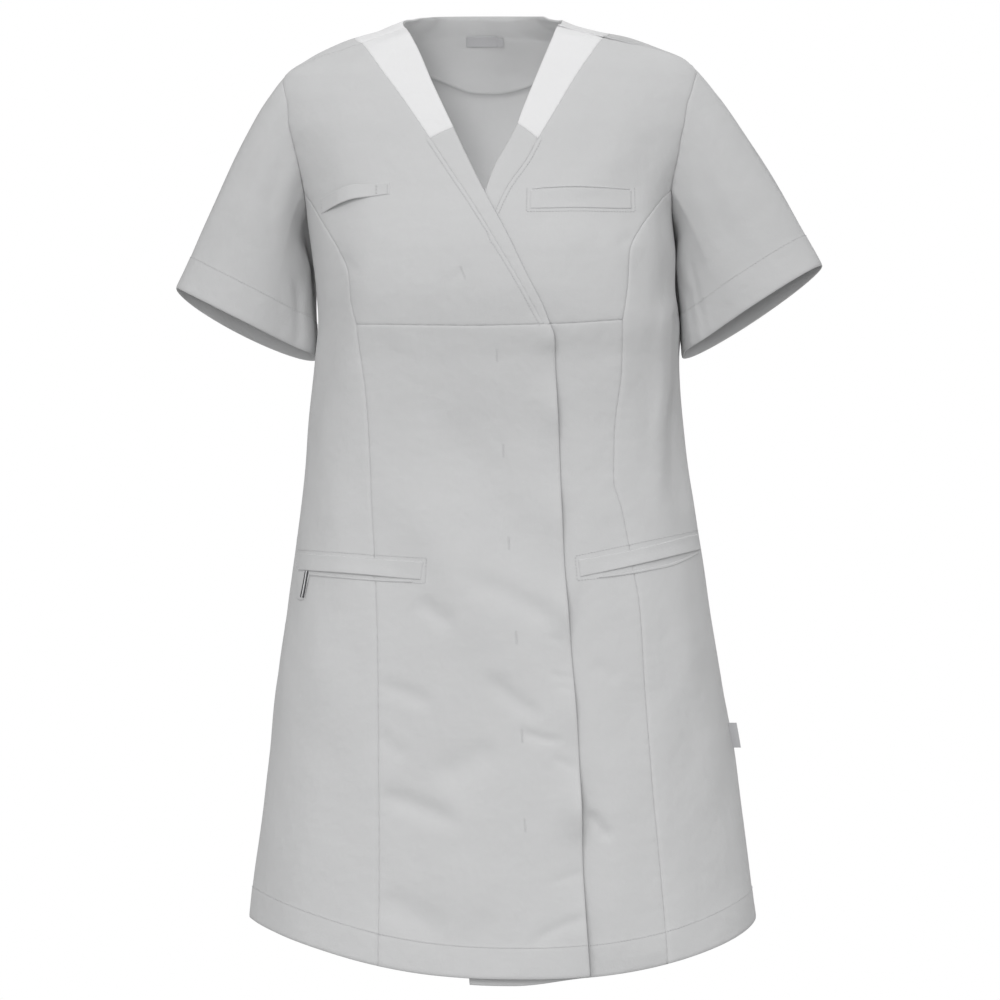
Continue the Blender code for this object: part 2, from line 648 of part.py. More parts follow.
def build_left_front():
    """The wearer's left front, cut like the right one, with the underlap."""
    tip = (90.0, LEFT_TIP_DROP)
    armhole = stations(LEFT_ARMHOLE_FRONT, CAP_ROWS)
    under = stations(LEFT_ARMHOLE_UNDER, SIDE_COLUMNS)
    bust = stations(join(armhole[-1:], on_face(LEFT_PRINCESS_BUST)), BUST_ROWS)
    shoulder = stations(np.vstack([[tip], on_face(LEFT_SHOULDER)]), FRONT_COLUMNS)
    neck_shoulder = stations(on_face(LEFT_NECK_SHOULDER), BAND_COLUMNS)
    panel_outer = stations(on_face(LEFT_PANEL_OUTER), NECK_ROWS)
    panel_inner = stations(on_face(LEFT_PANEL_INNER), NECK_ROWS)
    band_rows = CAP_ROWS + BUST_ROWS - NECK_ROWS
    band_seam = stations(on_face(LEFT_BAND_SEAM), band_rows)
    neck_edge = stations(on_face(LEFT_NECK_EDGE), band_rows)
    under_bust = stations(on_face(LEFT_UNDER_BUST), FRONT_COLUMNS)
    panel_end = stations([panel_outer[-1], panel_inner[-1]], BAND_COLUMNS)
    panel = face_patch("front", neck_shoulder, panel_end, panel_outer, panel_inner)
    band_end = stations([band_seam[-1], neck_edge[-1]], BAND_COLUMNS)
    add_panel(
        "neck_panel_left",
        [with_bend(panel, FRONT_SHOULDER_ROWS, "front")],
        no_lift,
        "white_cloth",
    )
    add_panel(
        "neck_band_left",
        [face_patch("front", panel_end, band_end, band_seam, neck_edge)],
        no_lift,
        "grey_cloth",
    )
    bodice_outer = join(armhole, bust)
    bodice_inner = join(panel_outer, band_seam)
    bodice = face_patch("front", shoulder, under_bust, bodice_outer, bodice_inner)
    add_panel(
        "bodice_left",
        [with_bend(bodice, FRONT_SHOULDER_ROWS, "front")],
        no_lift,
        "grey_cloth",
    )
    princess = stations(with_hem(LEFT_PRINCESS), SKIRT_ROWS)
    underlap = stations(with_hem(UNDERLAP_EDGE, UNDERLAP_EXTRA), SKIRT_ROWS)
    skirt_top = join(under_bust, band_end)
    skirt_hem = hem_between(princess[-1], underlap[-1], len(skirt_top) - 1, underlap_extra)
    add_panel(
        "skirt_left",
        [face_patch("front", skirt_top, skirt_hem, princess, underlap)],
        no_lift,
        "grey_cloth",
    )
    side = side_seam(BUST_ROWS + SKIRT_ROWS)
    inner_side = join(bust, princess)
    side_hem = hem_between(side[-1], princess[-1], SIDE_COLUMNS)
    add_panel("side_left", [patch(under[::-1], side_hem, side, inner_side)], no_lift, "grey_cloth")
    return {
        "armhole": with_bend(join(armhole, under), FRONT_SHOULDER_ROWS, "front"),
        "shoulder": shoulder,
        "neck_shoulder": neck_shoulder,
    }


def behind_neck(right_end, rows, left_end):
    """A seam round the back of the neck, from the ridge of one shoulder to the other."""
    return stations(np.vstack([right_end, on_face(rows, "back"), left_end]), BACK_NECK_COLUMNS)


def over_ridge(seam, ridge):
    """The strip between a shoulder seam and the ridge of the shoulder."""
    share = np.linspace(0, 1, 3)[:, None, None]
    return (1 - share) * seam + share * ridge


def build_back(right, left):
    """The back, the white band behind the neck and the facing inside, from seam to seam."""
    armhole_rows = CAP_ROWS + SIDE_COLUMNS
    back_armhole_right = stations(mirrored(RIGHT_ARMHOLE_BACK), armhole_rows)
    back_armhole_left = stations(LEFT_ARMHOLE_BACK, armhole_rows)
    side = side_seam(BUST_ROWS + SKIRT_ROWS)
    right_edge = join(back_armhole_right, side * (-1, 1))
    left_edge = join(wrapped(back_armhole_left), wrapped(side))
    ridge_right = stations([(-90, RIGHT_TIP_DROP), RIGHT_BAND_AT_RIDGE], FRONT_COLUMNS)
    ridge_left = stations([LEFT_BAND_AT_RIDGE, (-270, LEFT_TIP_DROP)], FRONT_COLUMNS)
    band_edge = behind_neck(RIGHT_BAND_AT_RIDGE, BACK_BAND_EDGE, LEFT_BAND_AT_RIDGE)
    top = join(ridge_right, band_edge, ridge_left)
    hem = hem_between(right_edge[-1], left_edge[-1], len(top) - 1)
    main = face_patch("back", top, hem, right_edge, left_edge)
    # Over each shoulder the back runs forward past the ridge to the shoulder seam.
    over_right = over_ridge(right["shoulder"], ridge_right)
    over_left = over_ridge(wrapped(left["shoulder"]), ridge_left[::-1])
    main = with_bend(main, BACK_SHOULDER_ROWS)
    add_panel("back", [main, over_right, over_left], no_lift, "grey_cloth")

    # The white band and the facing run over the ridge in the same way, round the neck.
    seam_right = right["neck_shoulder"][::-1]
    seam_left = wrapped(left["neck_shoulder"])[::-1]
    neck_edge = stations(BACK_NECK_EDGE, BACK_NECK_COLUMNS)
    facing_edge = behind_neck(RIGHT_FACING_AT_RIDGE, FACING_EDGE, LEFT_FACING_AT_RIDGE)
    for name, lower_edge, rows, cloth_finish, out, wall in (
        ("neck_band_back", band_edge, BAND_COLUMNS, "white_cloth", 0.0, WALL),
        ("back_neck_facing", facing_edge, FACING_ROWS, "grey_cloth", -(WALL + FACING_GAP), FACING_WALL),
    ):
        ridge_right = stations([neck_edge[0], lower_edge[0]], rows)
        ridge_left = stations([neck_edge[-1], lower_edge[-1]], rows)
        front_right = stations(seam_right, rows)
        front_left = stations(seam_left, rows)
        blocks = [
            face_patch("back", neck_edge, lower_edge, ridge_right, ridge_left),
            over_ridge(front_right, ridge_right),
            over_ridge(front_left, ridge_left),
        ]
        add_panel(name, blocks, no_lift, cloth_finish, out, wall)
    return {
        "right": with_bend(back_armhole_right, BACK_SHOULDER_ROWS),
        "left": with_bend(back_armhole_left, BACK_SHOULDER_ROWS),
    }


def sleeve_surface(side, front_armhole, back_armhole, rows):
    """The outer points of a sleeve: a smooth tube from the armhole loop to the cuff."""
    row = next(item for item in SLEEVES if item[0] == side)
    outer_across, outer_drop, outer_back, inner_across, inner_drop, inner_back = row[1:7]
    half_depth, front_rise, back_fall = row[7:]
    sign = -1 if side == "right" else 1
    loop = join(front_armhole, back_armhole[::-1])[:-1]
    start = form(loop[:, 0], loop[:, 1])
    count = len(loop)
    half = len(front_armhole) - 1
    around = np.concatenate(
        [np.linspace(0, math.pi, half + 1), np.linspace(math.pi, 2 * math.pi, count - half + 1)[1:-1]]
    )
    outer_end = np.array([outer_across, outer_back, -outer_drop])
    inner_end = np.array([inner_across, inner_back, -inner_drop])
    middle = (outer_end + inner_end) / 2
    reach = (outer_end - inner_end) / 2
    out_of_cuff = np.array([-reach[2], 0, reach[0]]) * -sign
    out_of_cuff = out_of_cuff / np.linalg.norm(out_of_cuff)
    forward = np.sin(around)
    shift = np.where(forward > 0, -front_rise * forward, -back_fall * forward)
    end = middle + np.cos(around)[:, None] * reach
    end = end + np.array([0, -half_depth, 0]) * forward[:, None]
    end = end + out_of_cuff * shift[:, None]
    lines = {item[1]: item[2:] for item in SLEEVE_LINES if item[0] == side}
    weights = {
        "top": np.clip(np.cos(around), 0, 1) ** 2,
        "under": np.clip(-np.cos(around), 0, 1) ** 2,
        "front": np.clip(np.sin(around), 0, 1) ** 2,
        "back": np.clip(-np.sin(around), 0, 1) ** 2,
    }
    values = sum(weights[name][:, None] * np.array(lines[name]) for name in lines)
    chord = np.linalg.norm(end - start, axis=1)
    leave = np.stack([sign * values[:, 0], 0 * chord, -values[:, 1]], axis=1)
    leave = leave * (values[:, 2] * chord)[:, None]
    arrive = np.stack([sign * values[:, 3], 0 * chord, -values[:, 4]], axis=1)
    arrive = arrive * (values[:, 5] * chord)[:, None]
    unit = leave / np.linalg.norm(leave, axis=1, keepdims=True)
    start = start + unit * SLEEVE_CLEAR
    t = np.linspace(0, 1, rows + 1)[:, None, None]
    grid = (1 + 2 * t) * (1 - t) ** 2 * start + t * (1 - t) ** 2 * leave
    grid = grid + t**2 * (3 - 2 * t) * end + t**2 * (t - 1) * arrive
    return grid


def tube_normals(grid):
    """The directions straight out of a tube, from its points."""
    round_it = np.roll(grid, -1, axis=1) - np.roll(grid, 1, axis=1)
    down_it = np.gradient(grid, axis=0)
    out = np.cross(round_it, down_it)
    out = out / np.linalg.norm(out, axis=-1, keepdims=True)
    from_middle = grid - grid.mean(axis=1, keepdims=True)
    return out * np.sign(np.sum(from_middle * out))


def build_sleeve(side, front_armhole, back_armhole):
    """One sleeve, a tube with a wall, open at the armhole and at the cuff."""
    grid = sleeve_surface(side, front_armhole, back_armhole, SLEEVE_ROWS)
    outwards = tube_normals(grid)
    rows, around = grid.shape[:2]
    faces = []
    for i in range(rows - 1):
        for j in range(around):
            k = (j + 1) % around
            face = (i * around + j, i * around + k, (i + 1) * around + k, (i + 1) * around + j)
            faces.append(face if side == "left" else face[::-1])
    outer = grid.reshape(-1, 3) * MM
    inner = (grid - outwards * WALL).reshape(-1, 3) * MM
    add_solid(f"sleeve_{side}", outer, inner, faces, "grey_cloth")


def tab_arch(turn, drop):
    """The pen tab lies on the bodice at its stitched ends and stands off it between them."""
    start, end = CHEST_TAB[0][0], CHEST_TAB[1][0]
    share = (form(turn, drop)[..., 0] - start) / (end - start)
    rising = smooth_step(share / CHEST_TAB_RAMP)
    falling = smooth_step((CHEST_TAB_DOWN - share) / CHEST_TAB_RAMP)
    return lift_of_upper_front(turn, drop) + CHEST_TAB_ARCH * rising * falling


def build_strips():
    """Welts, pen tab, key loop and labels, each made from its panel's points and moved out."""
    out = ON_PANEL + STRIP_WALL
    add_panel(
        "hip_welt_right",
        [strip_grid(RIGHT_HIP_WELT, STRIP_COLUMNS)],
        lift_of_upper_front,
        "grey_cloth",
        out,
        STRIP_WALL,
    )
    add_panel(
        "hip_welt_left", [strip_grid(LEFT_HIP_WELT, STRIP_COLUMNS)], no_lift, "grey_cloth", out, STRIP_WALL
    )
    add_panel(
        "chest_welt_left", [strip_grid(CHEST_WELT, STRIP_COLUMNS)], no_lift, "grey_cloth", out, STRIP_WALL
    )
    add_panel(
        "chest_tab_right", [strip_grid(CHEST_TAB, STRIP_COLUMNS)], tab_arch, "grey_cloth", out, STRIP_WALL
    )
    add_panel(
        "key_loop_right",
        [strip_grid(KEY_LOOP, 2, 3)],
        lift_of_upper_front,
        "dark_tape",
        out,
        STRIP_WALL,
    )
    inside = -(WALL + FACING_GAP + FACING_WALL + LABEL_GAP)
    for name, corners in (("neck_label", NECK_LABEL), ("size_tag", SIZE_TAG)):
        grid = strip_grid(corners, 3)
        turns = turn_of(form(grid[..., 0], grid[..., 1])[..., 0], grid[..., 1], "back")
        grid = np.stack([turns, grid[..., 1]], axis=-1)
        add_panel(name, [grid], no_lift, "grey_label", inside, LABEL_WALL)


def build_side_tab():
    """A folded ribbon caught in the wearer's left side seam, standing out from it."""
    top, bottom = SIDE_TAB_DROPS
    drops = np.linspace(top, bottom, 4)
    root = cloth(np.full(4, SIDE_TAB_TURN), drops, no_lift, SIDE_TAB_SEAT) / MM
    outer = np.concatenate([root, root + (SIDE_TAB_LENGTH, 0, 0)])
    faces = [(i, i + 1, i + 5, i + 4) for i in range(3)]
    inner = outer + (0, WALL, 0)
    add_solid("side_tab_left", outer * MM, inner * MM, faces, "grey_label")


def build():
    """Clears the scene and builds every piece."""
    for item in list(bpy.data.objects):
        bpy.data.objects.remove(item, do_unlink=True)
    right = build_right_front()
    left = build_left_front()
    back = build_back(right, left)
    build_sleeve("right", right["armhole"], back["right"])
    build_sleeve("left", left["armhole"], back["left"])
    build_strips()
    build_side_tab()


build()
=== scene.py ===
# %% [markdown]
# # A wrap-front work tunic
# The solids of this tunic are a plain, faceted model of the worn cloth. This notebook dresses them:
# each cut piece is made again as a fine, closed shell with its creases, seams, hems and stitching,
# and each finish gets a material that is worked out from the weave. Sizes in the tables are
# millimetres. "drop" is how far a point lies below the origin, which is midway between the high
# points of the shoulders, and "across" is how far it lies to the wearer's left.

import math
from types import SimpleNamespace

import bpy
import numpy as np
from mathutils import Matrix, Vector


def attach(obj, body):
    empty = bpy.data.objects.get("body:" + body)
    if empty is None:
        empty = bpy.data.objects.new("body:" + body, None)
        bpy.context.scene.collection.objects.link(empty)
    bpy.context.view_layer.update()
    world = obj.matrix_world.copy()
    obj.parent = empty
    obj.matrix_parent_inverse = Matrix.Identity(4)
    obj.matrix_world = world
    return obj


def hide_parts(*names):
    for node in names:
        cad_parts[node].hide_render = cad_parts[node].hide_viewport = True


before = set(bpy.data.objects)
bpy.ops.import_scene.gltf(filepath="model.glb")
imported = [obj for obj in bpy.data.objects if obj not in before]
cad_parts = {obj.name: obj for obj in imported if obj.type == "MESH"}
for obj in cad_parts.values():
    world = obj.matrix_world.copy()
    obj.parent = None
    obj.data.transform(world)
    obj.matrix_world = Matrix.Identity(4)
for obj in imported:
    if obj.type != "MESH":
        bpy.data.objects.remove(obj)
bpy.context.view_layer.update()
MM = 0.001

# %% [markdown]
# ## Camera, light and floor
# The photograph was taken level and straight from the front, from far away, so that the two sides
# hardly converge. A long lens does the same: it stands 30 m off and takes in one metre at the
# front of the cloth. The tunic is held at the shoulders and touches no floor; a pale floor lies
# below it. The light of such a picture is soft and comes from all round. Area lamps could give it,
# but they get weaker with distance; suns are as strong on every part of the cloth. Four of them
# shine here, from the front, from each side and from behind, with wide angles for soft shadows.
# The sky adds a light that grows from below to above, and is plain white where it is looked at. A
# small lamp inside stands for the light that thin cloth lets through.

# %% Camera, light and floor
VIEW_MIDDLE = (3.0, 478.0)  # across and drop of the middle of the picture
VIEW_SIZE = 1.0  # metres of cloth that the picture takes in
CAMERA_DISTANCE = 30.0
FRONT_OF_CLOTH = -0.08  # the plane that the picture's scale holds for
SENSOR = 36.0
FLOOR_DROP = 1.25
FLOOR_HALF = 1.6  # metres from the middle of the floor to each side
FLOOR_GREY = 0.42

camera_data = bpy.data.cameras.new("camera")
camera_data.sensor_width = SENSOR
camera_data.lens = SENSOR * CAMERA_DISTANCE / VIEW_SIZE
camera_data.clip_end = 2 * CAMERA_DISTANCE
camera = bpy.data.objects.new("camera", camera_data)
camera.location = (VIEW_MIDDLE[0] * MM, FRONT_OF_CLOTH - CAMERA_DISTANCE, -VIEW_MIDDLE[1] * MM)
camera.rotation_euler = (math.radians(90), 0, 0)
bpy.context.scene.collection.objects.link(camera)
bpy.context.scene.camera = camera
bpy.context.scene.view_settings.view_transform = "Standard"

SUNS = (
    # name, strength, degrees across (the wider, the softer its shadows), which way its light goes
    ("front_light", 0.80, 12.0, (0.10, 1.0, -0.06)),
    ("left_light", 0.90, 30.0, (0.42, 0.90, -0.64)),
    ("right_light", 0.52, 24.0, (-0.72, 0.66, -0.62)),
    ("back_light", 0.5, 40.0, (-0.3, -1.0, -0.5)),
)
SKY_BELOW, SKY_ABOVE = 0.14, 0.80  # the light from straight below and above; 1 is the white seen
INNER_LAMP = (0.0, 0.03, -0.30)
INNER_POWER = 0.7
INNER_SOFTNESS = 0.06  # the lamp's radius in metres

for name, strength, across, way in SUNS:
    sun_data = bpy.data.lights.new(name, "SUN")
    sun_data.energy = strength
    sun_data.angle = math.radians(across)
    sun = bpy.data.objects.new(name, sun_data)
    sun.rotation_euler = Vector(way).to_track_quat("-Z", "Y").to_euler()
    bpy.context.scene.collection.objects.link(sun)

inner_data = bpy.data.lights.new("inner_light", "POINT")
inner_data.energy = INNER_POWER
inner_data.shadow_soft_size = INNER_SOFTNESS
inner = bpy.data.objects.new("inner_light", inner_data)
inner.location = INNER_LAMP
inner.visible_camera = False
bpy.context.scene.collection.objects.link(inner)

world = bpy.data.worlds.new("white_studio")
world.use_nodes = True
world_nodes = world.node_tree.nodes
sky = world_nodes["Background"]
sky.inputs["Color"].default_value = (1, 1, 1, 1)
seen = world_nodes.new("ShaderNodeLightPath")
way = world_nodes.new("ShaderNodeTexCoord")
height_of_way = world_nodes.new("ShaderNodeSeparateXYZ")
sky_light = world_nodes.new("ShaderNodeMapRange")
sky_light.inputs["From Min"].default_value = -1.0
sky_light.inputs["To Min"].default_value = SKY_BELOW
sky_light.inputs["To Max"].default_value = SKY_ABOVE
sky_strength = world_nodes.new("ShaderNodeMix")
sky_strength.inputs["B"].default_value = 1.0
join_up = world.node_tree.links.new
join_up(way.outputs["Generated"], height_of_way.inputs[0])
join_up(height_of_way.outputs["Z"], sky_light.inputs["Value"])
join_up(seen.outputs["Is Camera Ray"], sky_strength.inputs["Factor"])
join_up(sky_light.outputs["Result"], sky_strength.inputs["A"])
join_up(sky_strength.outputs["Result"], sky.inputs["Strength"])
bpy.context.scene.world = world

corners = [(FLOOR_HALF * x, FLOOR_HALF * y, -FLOOR_DROP) for x, y in ((-1, -1), (1, -1), (1, 1), (-1, 1))]
floor_mesh = bpy.data.meshes.new("floor")
floor_mesh.from_pydata(corners, [], [(0, 1, 2, 3)])
floor = bpy.data.objects.new("floor", floor_mesh)
floor_finish = bpy.data.materials.new("pale_floor")
floor_finish.use_nodes = True
floor_shader = floor_finish.node_tree.nodes["Principled BSDF"]
floor_shader.inputs["Base Color"].default_value = (FLOOR_GREY, FLOOR_GREY, FLOOR_GREY, 1)
floor_shader.inputs["Roughness"].default_value = 0.9
floor_mesh.materials.append(floor_finish)
bpy.context.scene.collection.objects.link(floor)
print("camera, light and floor")

# %% [markdown]
# ## The worn form
# A tunic that is filled out follows a body: rounded rings, one above the other, wider than they
# are deep. It could be sculpted or lofted in Blender. Here it is one function of two numbers, the
# turn round the body and the drop below the shoulders, because every seam, crease and stitch can
# then be placed by those two numbers and lies on the cloth by itself. The turn is 0 at the centre
# front, 90 degrees at the wearer's left side and 180 at the centre back.

# %% The worn form
RINGS = np.array(
    [
        # drop, half_width, front, back, squareness, shift
        (-6, 73.0, 26, 68, 2.1, -15.0),
        (-2, 79.5, 29, 70, 2.1, -13.5),
        (3, 91.5, 33, 73, 2.1, -13.5),
        (9, 110.0, 38, 76, 2.1, -9.0),
        (15, 136.0, 43, 79, 2.15, -5.0),
        (24, 160.5, 48, 83, 2.2, -3.5),
        (37, 188.5, 55, 87, 2.2, -0.5),
        (53, 207.5, 62, 92, 2.2, -4.5),
        (77, 215.0, 73, 98, 2.2, -7.0),
        (98, 214.0, 82, 102, 2.2, -8.0),
        (123, 206.0, 91, 105, 2.2, -8.5),
        (163, 190.0, 106, 108, 2.25, -8.5),
        (190, 183.0, 116, 107, 2.4, -8.0),
        (228, 181.5, 127, 104, 2.6, -4.5),
        (268, 179.0, 131, 100, 2.75, -2.0),
        (303, 181.0, 128, 95, 2.85, 2.5),
        (338, 182.0, 122, 90, 2.85, 0.5),
        (418, 188.5, 117, 88, 2.85, -1.0),
        (498, 199.0, 122, 96, 2.8, 0.0),
        (578, 210.0, 131, 106, 2.75, 1.0),
        (658, 223.0, 139, 116, 2.7, 2.0),
        (738, 234.0, 147, 126, 2.6, 5.0),
        (898, 254.5, 162, 144, 2.6, 5.5),
        (970, 263.0, 168, 151, 2.6, 6.0),
    ],
    float,
)
DROP, HALF_WIDTH, FRONT, BACK, SQUARENESS, SHIFT = range(6)


def eased(at, values, where):
    """A cubic curve through the values whose slopes never swing past them between two points."""
    at = np.asarray(at, float)
    values = np.asarray(values, float)
    where = np.clip(np.asarray(where, float), at[0], at[-1])
    step = np.diff(at)
    rise = np.diff(values) / step
    slope = np.empty(len(at))
    slope[0] = rise[0]
    slope[-1] = rise[-1]
    same_way = rise[:-1] * rise[1:] > 0
    total = np.where(same_way, rise[:-1] + rise[1:], 1.0)
    slope[1:-1] = np.where(same_way, 2 * rise[:-1] * rise[1:] / total, 0.0)
    i = np.clip(np.searchsorted(at, where, side="right") - 1, 0, len(step) - 1)
    t = (where - at[i]) / step[i]
    start = (1 + 2 * t) * (1 - t) ** 2 * values[i] + t * (1 - t) ** 2 * step[i] * slope[i]
    end = t**2 * (3 - 2 * t) * values[i + 1] + t**2 * (t - 1) * step[i] * slope[i + 1]
    return start + end


def smooth_step(value):
    """Three squares less two cubes of the value: from 0 to 1, level at both ends."""
    value = np.clip(value, 0, 1)
    return value * value * (3 - 2 * value)


def ring(drop, column):
    """One column of the ring table at any drop."""
    return eased(RINGS[:, DROP], RINGS[:, column], drop)


def form(turn, drop):
    """x is the half width times a power of the sine, y the depth times a power of the cosine."""
    power = 2 / ring(drop, SQUARENESS)
    side = np.sin(np.radians(turn))
    ahead = np.cos(np.radians(turn))
    depth = np.where(ahead > 0, ring(drop, FRONT), ring(drop, BACK))
    x = ring(drop, SHIFT) + ring(drop, HALF_WIDTH) * np.sign(side) * np.abs(side) ** power
    y = -depth * np.sign(ahead) * np.abs(ahead) ** power
    return np.stack([x, y, -np.asarray(drop, float) + 0 * x], axis=-1)


def unit(vectors):
    """The vectors made one long."""
    return vectors / np.maximum(np.linalg.norm(vectors, axis=-1, keepdims=True), 1e-12)


def form_normal(turn, drop):
    """Straight out of the form: the slope down crossed with the slope round."""
    turn, drop = np.broadcast_arrays(np.asarray(turn, float), np.asarray(drop, float))
    round_it = form(turn + 0.5, drop) - form(turn - 0.5, drop)
    down_it = form(turn, drop + 0.6) - form(turn, drop - 0.6)
    return unit(np.cross(down_it, round_it))


def turn_of(across, drop, face="front"):
    """The turn at which the form has that place across, on its front or its back."""
    share = (np.asarray(across, float) - ring(drop, SHIFT)) / ring(drop, HALF_WIDTH)
    side = np.clip(np.abs(share), 0, 1) ** (ring(drop, SQUARENESS) / 2)
    turn = np.sign(share) * np.degrees(np.arcsin(side))
    return turn if face == "front" else -180 - turn


print("rings:", len(RINGS))

# %% [markdown]
# ## Creases
# Cloth that hangs from shoulders and bust is never smooth: soft diagonal troughs run from the bust
# to the waist, long flutes run down the skirt, and short puckers start where seams pull. A cloth
# simulation would put them where it likes. They are placed one by one here, each as a ridge or a
# trough between two points, so that they lie where the photograph has them; the back, which it
# does not show, gets the same kind. A faint random swell covers what lies between.

# %% Creases
CREASES = (
    # face, across_a, drop_a, across_b, drop_b, bow, half_width, height
    ("front", -156, 233, -141, 250, 0, 5, -1.3),
    ("front", 139, 210, 118, 226, 0, 6, -1.2),
    ("front", -70, 380, 40, 560, 8, 30, -5.1),
    ("front", -90, 470, 5, 640, 6, 28, 4.2),
    ("front", -27, 558, 60, 601, 3, 12, -3.7),
    ("front", -77, 578, -44, 605, 0, 10, -3.1),
    ("front", -10, 655, 40, 695, 0, 9, -3.1),
    ("front", -117, 661, -64, 681, 0, 9, -2.2),
    ("front", -117, 711, -94, 735, 0, 9, -2.0),
    ("front", -57, 755, -4, 725, 0, 16, -3.7),
    ("front", -117, 771, -40, 801, 2, 11, -4.4),
    ("front", -117, 875, -54, 905, 0, 16, -3.7),
    ("front", -40, 770, -20, 900, 0, 26, 3.7),
    ("front", 110, 690, 130, 930, 0, 34, 5.1),
    ("front", -190, 600, -205, 880, 0, 34, 5.1),
    ("front", 200, 640, 215, 890, 0, 30, -5.1),
    ("back", -60, 330, -95, 900, 10, 30, -7.0),
    ("back", 50, 340, 85, 900, -10, 30, -7.0),
    ("back", -5, 420, 0, 900, 6, 36, 7.0),
    ("back", -150, 480, -175, 880, 4, 30, 7.0),
    ("back", 140, 500, 170, 880, 4, 30, 7.0),
    ("back", -120, 290, 30, 335, 8, 15, -4.6),
    ("back", 135, 315, -20, 362, 8, 14, -4.4),
    ("back", -135, 345, -30, 385, 5, 11, -3.4),
    ("back", 120, 372, 30, 408, 4, 10, -2.8),
    ("back", -150, 120, -105, 205, 4, 12, -3.0),
    ("back", 140, 118, 98, 200, -4, 12, -3.0),
    ("back", -60, 60, 60, 62, 6, 12, -2.0),
    ("back", -40, 620, 30, 668, 2, 13, -3.0),
    ("back", 100, 690, 40, 742, 2, 12, -2.6),
)
# Small creases of the upper front alone, beside its free edge, and of the other front beside them.
UPPER_CREASES = (
    (50, 615, 66, 621, 0, 4, -0.9),
    (50, 651, 76, 658, 0, 3.5, -0.8),
    (61, 663, 76, 670, 0, 3.5, -0.8),
    (23, 708, 65, 718, -3, 5, -2.2),
    (56, 736, 80, 748, 0, 5, -1.5),
    (53, 861, 85, 850, 0, 4, -1.1),
    (36, 921, 89, 896, 4, 6, -2.0),
    (-28, 245, -50, 262, 0, 5, -0.8),
)
UNDER_CREASES = (
    (90, 790, 112, 816, 0, 6, -3.5),
    (86, 560, 80, 610, 0, 5, -1.5),
    (96, 640, 120, 660, 0, 8, -1.2),
)
SWELL_COUNT = 14
SWELL_WAVES = (55.0, 190.0)  # shortest and longest wave
SWELL_SLOPE = 0.010  # height of a wave for each millimetre of its length
MM_PER_DEGREE = 2.8

swell_random = np.random.default_rng(11)
swell_length = np.exp(swell_random.uniform(*np.log(SWELL_WAVES), SWELL_COUNT))
swell_angle = swell_random.uniform(-0.7, 0.7, SWELL_COUNT)
swell_phase = swell_random.uniform(0, 2 * math.pi, SWELL_COUNT)


def swell(turn, drop):
    """A sum of low waves, each a sine across its own direction."""
    around = np.asarray(turn, float) * MM_PER_DEGREE
    height = np.zeros(np.broadcast(around, drop).shape)
    for length, angle, phase in zip(swell_length, swell_angle, swell_phase):
        along = around * math.cos(angle) + drop * math.sin(angle)
        height += SWELL_SLOPE * length * np.sin(2 * math.pi * along / length + phase)
    return height / math.sqrt(SWELL_COUNT)


def creased(turn, drop, rows):
    """Each crease is a bell curve across its line, faded at both ends; bow bends the line."""
    place = form(turn, drop)
    height = np.zeros(place.shape[:-1])
    for across_a, drop_a, across_b, drop_b, bow, half_width, rise in rows:
        run = np.array([across_b - across_a, -(drop_b - drop_a)], float)
        length = np.hypot(*run)
        run = run / length
        x = place[..., 0] - across_a
        z = place[..., 2] + drop_a
        share = (x * run[0] + z * run[1]) / length
        off = -x * run[1] + z * run[0] - bow * 4 * share * (1 - share)
        fade = smooth_step((share + 0.15) / 0.4) * smooth_step((1.15 - share) / 0.4)
        height += rise * np.exp(-((off / half_width) ** 2)) * fade
    return height * np.abs(np.cos(np.radians(turn))) ** 0.5


def crease_height(turn, drop):
    """The creases of the front on the front, those of the back on the back."""
    front = creased(turn, drop, [row[1:] for row in CREASES if row[0] == "front"])
    back = creased(turn, drop, [row[1:] for row in CREASES if row[0] == "back"])
    return np.where(np.cos(np.radians(turn)) < 0, back, front)


# On the wearer's left the front side panel stands forward of the cloth beside the waist: a fold
# whose crest hides what lies behind it.
FOLD_CREST = np.array(
    [
        # across, drop
        (178, 262),
        (176.5, 290),
        (174.3, 312),
        (173.6, 358),
        (171.3, 381),
        (168, 406),
        (165.5, 438),
        (157, 490),
    ]
)
FOLD_STRENGTH = np.array([  # share, drop
    (0, 262), (1, 300), (1, 385), (0.55, 420), (0.25, 450), (0, 490),
])
FOLD_DEPTH = 30.0
FOLD_SHARP = 4.0  # width over which the cloth steps back, where the fold is sharpest
FOLD_SOFT = 12.0  # and how much wider that is where the fold has faded
FOLD_ROLL = 3.0  # how far its crest stands forward
FOLD_ROLL_AT, FOLD_ROLL_WIDTH = -6, 7  # where that is, from the crest line, and its width
FOLD_TURNS = (90.0, 128.0)  # behind the side seam the step fades out again


def fold_push(turn, drop):
    """How far back the cloth is pushed: a smooth step past the crest line, less a bell before it."""
    past = form(turn, drop)[..., 0] - eased(FOLD_CREST[:, 1], FOLD_CREST[:, 0], drop)
    strength = eased(FOLD_STRENGTH[:, 1], FOLD_STRENGTH[:, 0], drop)
    sharp = FOLD_SHARP + FOLD_SOFT * (1 - strength)
    turned = np.where(np.asarray(turn, float) < -180, np.asarray(turn, float) + 360, turn)
    fade = smooth_step((FOLD_TURNS[1] - turned) / (FOLD_TURNS[1] - FOLD_TURNS[0])) * (turned > 0)
    roll = np.exp(-(((past - FOLD_ROLL_AT) / FOLD_ROLL_WIDTH) ** 2))
    return (FOLD_DEPTH * smooth_step(past / sharp) - FOLD_ROLL * roll) * strength * fade


print("creases:", len(CREASES), "swells:", SWELL_COUNT)

# %% [markdown]
# ## Seams
# The tunic is cut as two fronts that wrap over each other, each with a neck band, a bodice, a
# skirt and a side piece, and one back. The wearer's right front lies on top. The seams are drawn
# once, as smooth curves through a few points, and every piece is the patch of the form between its
# own seams, so neighbours always meet.

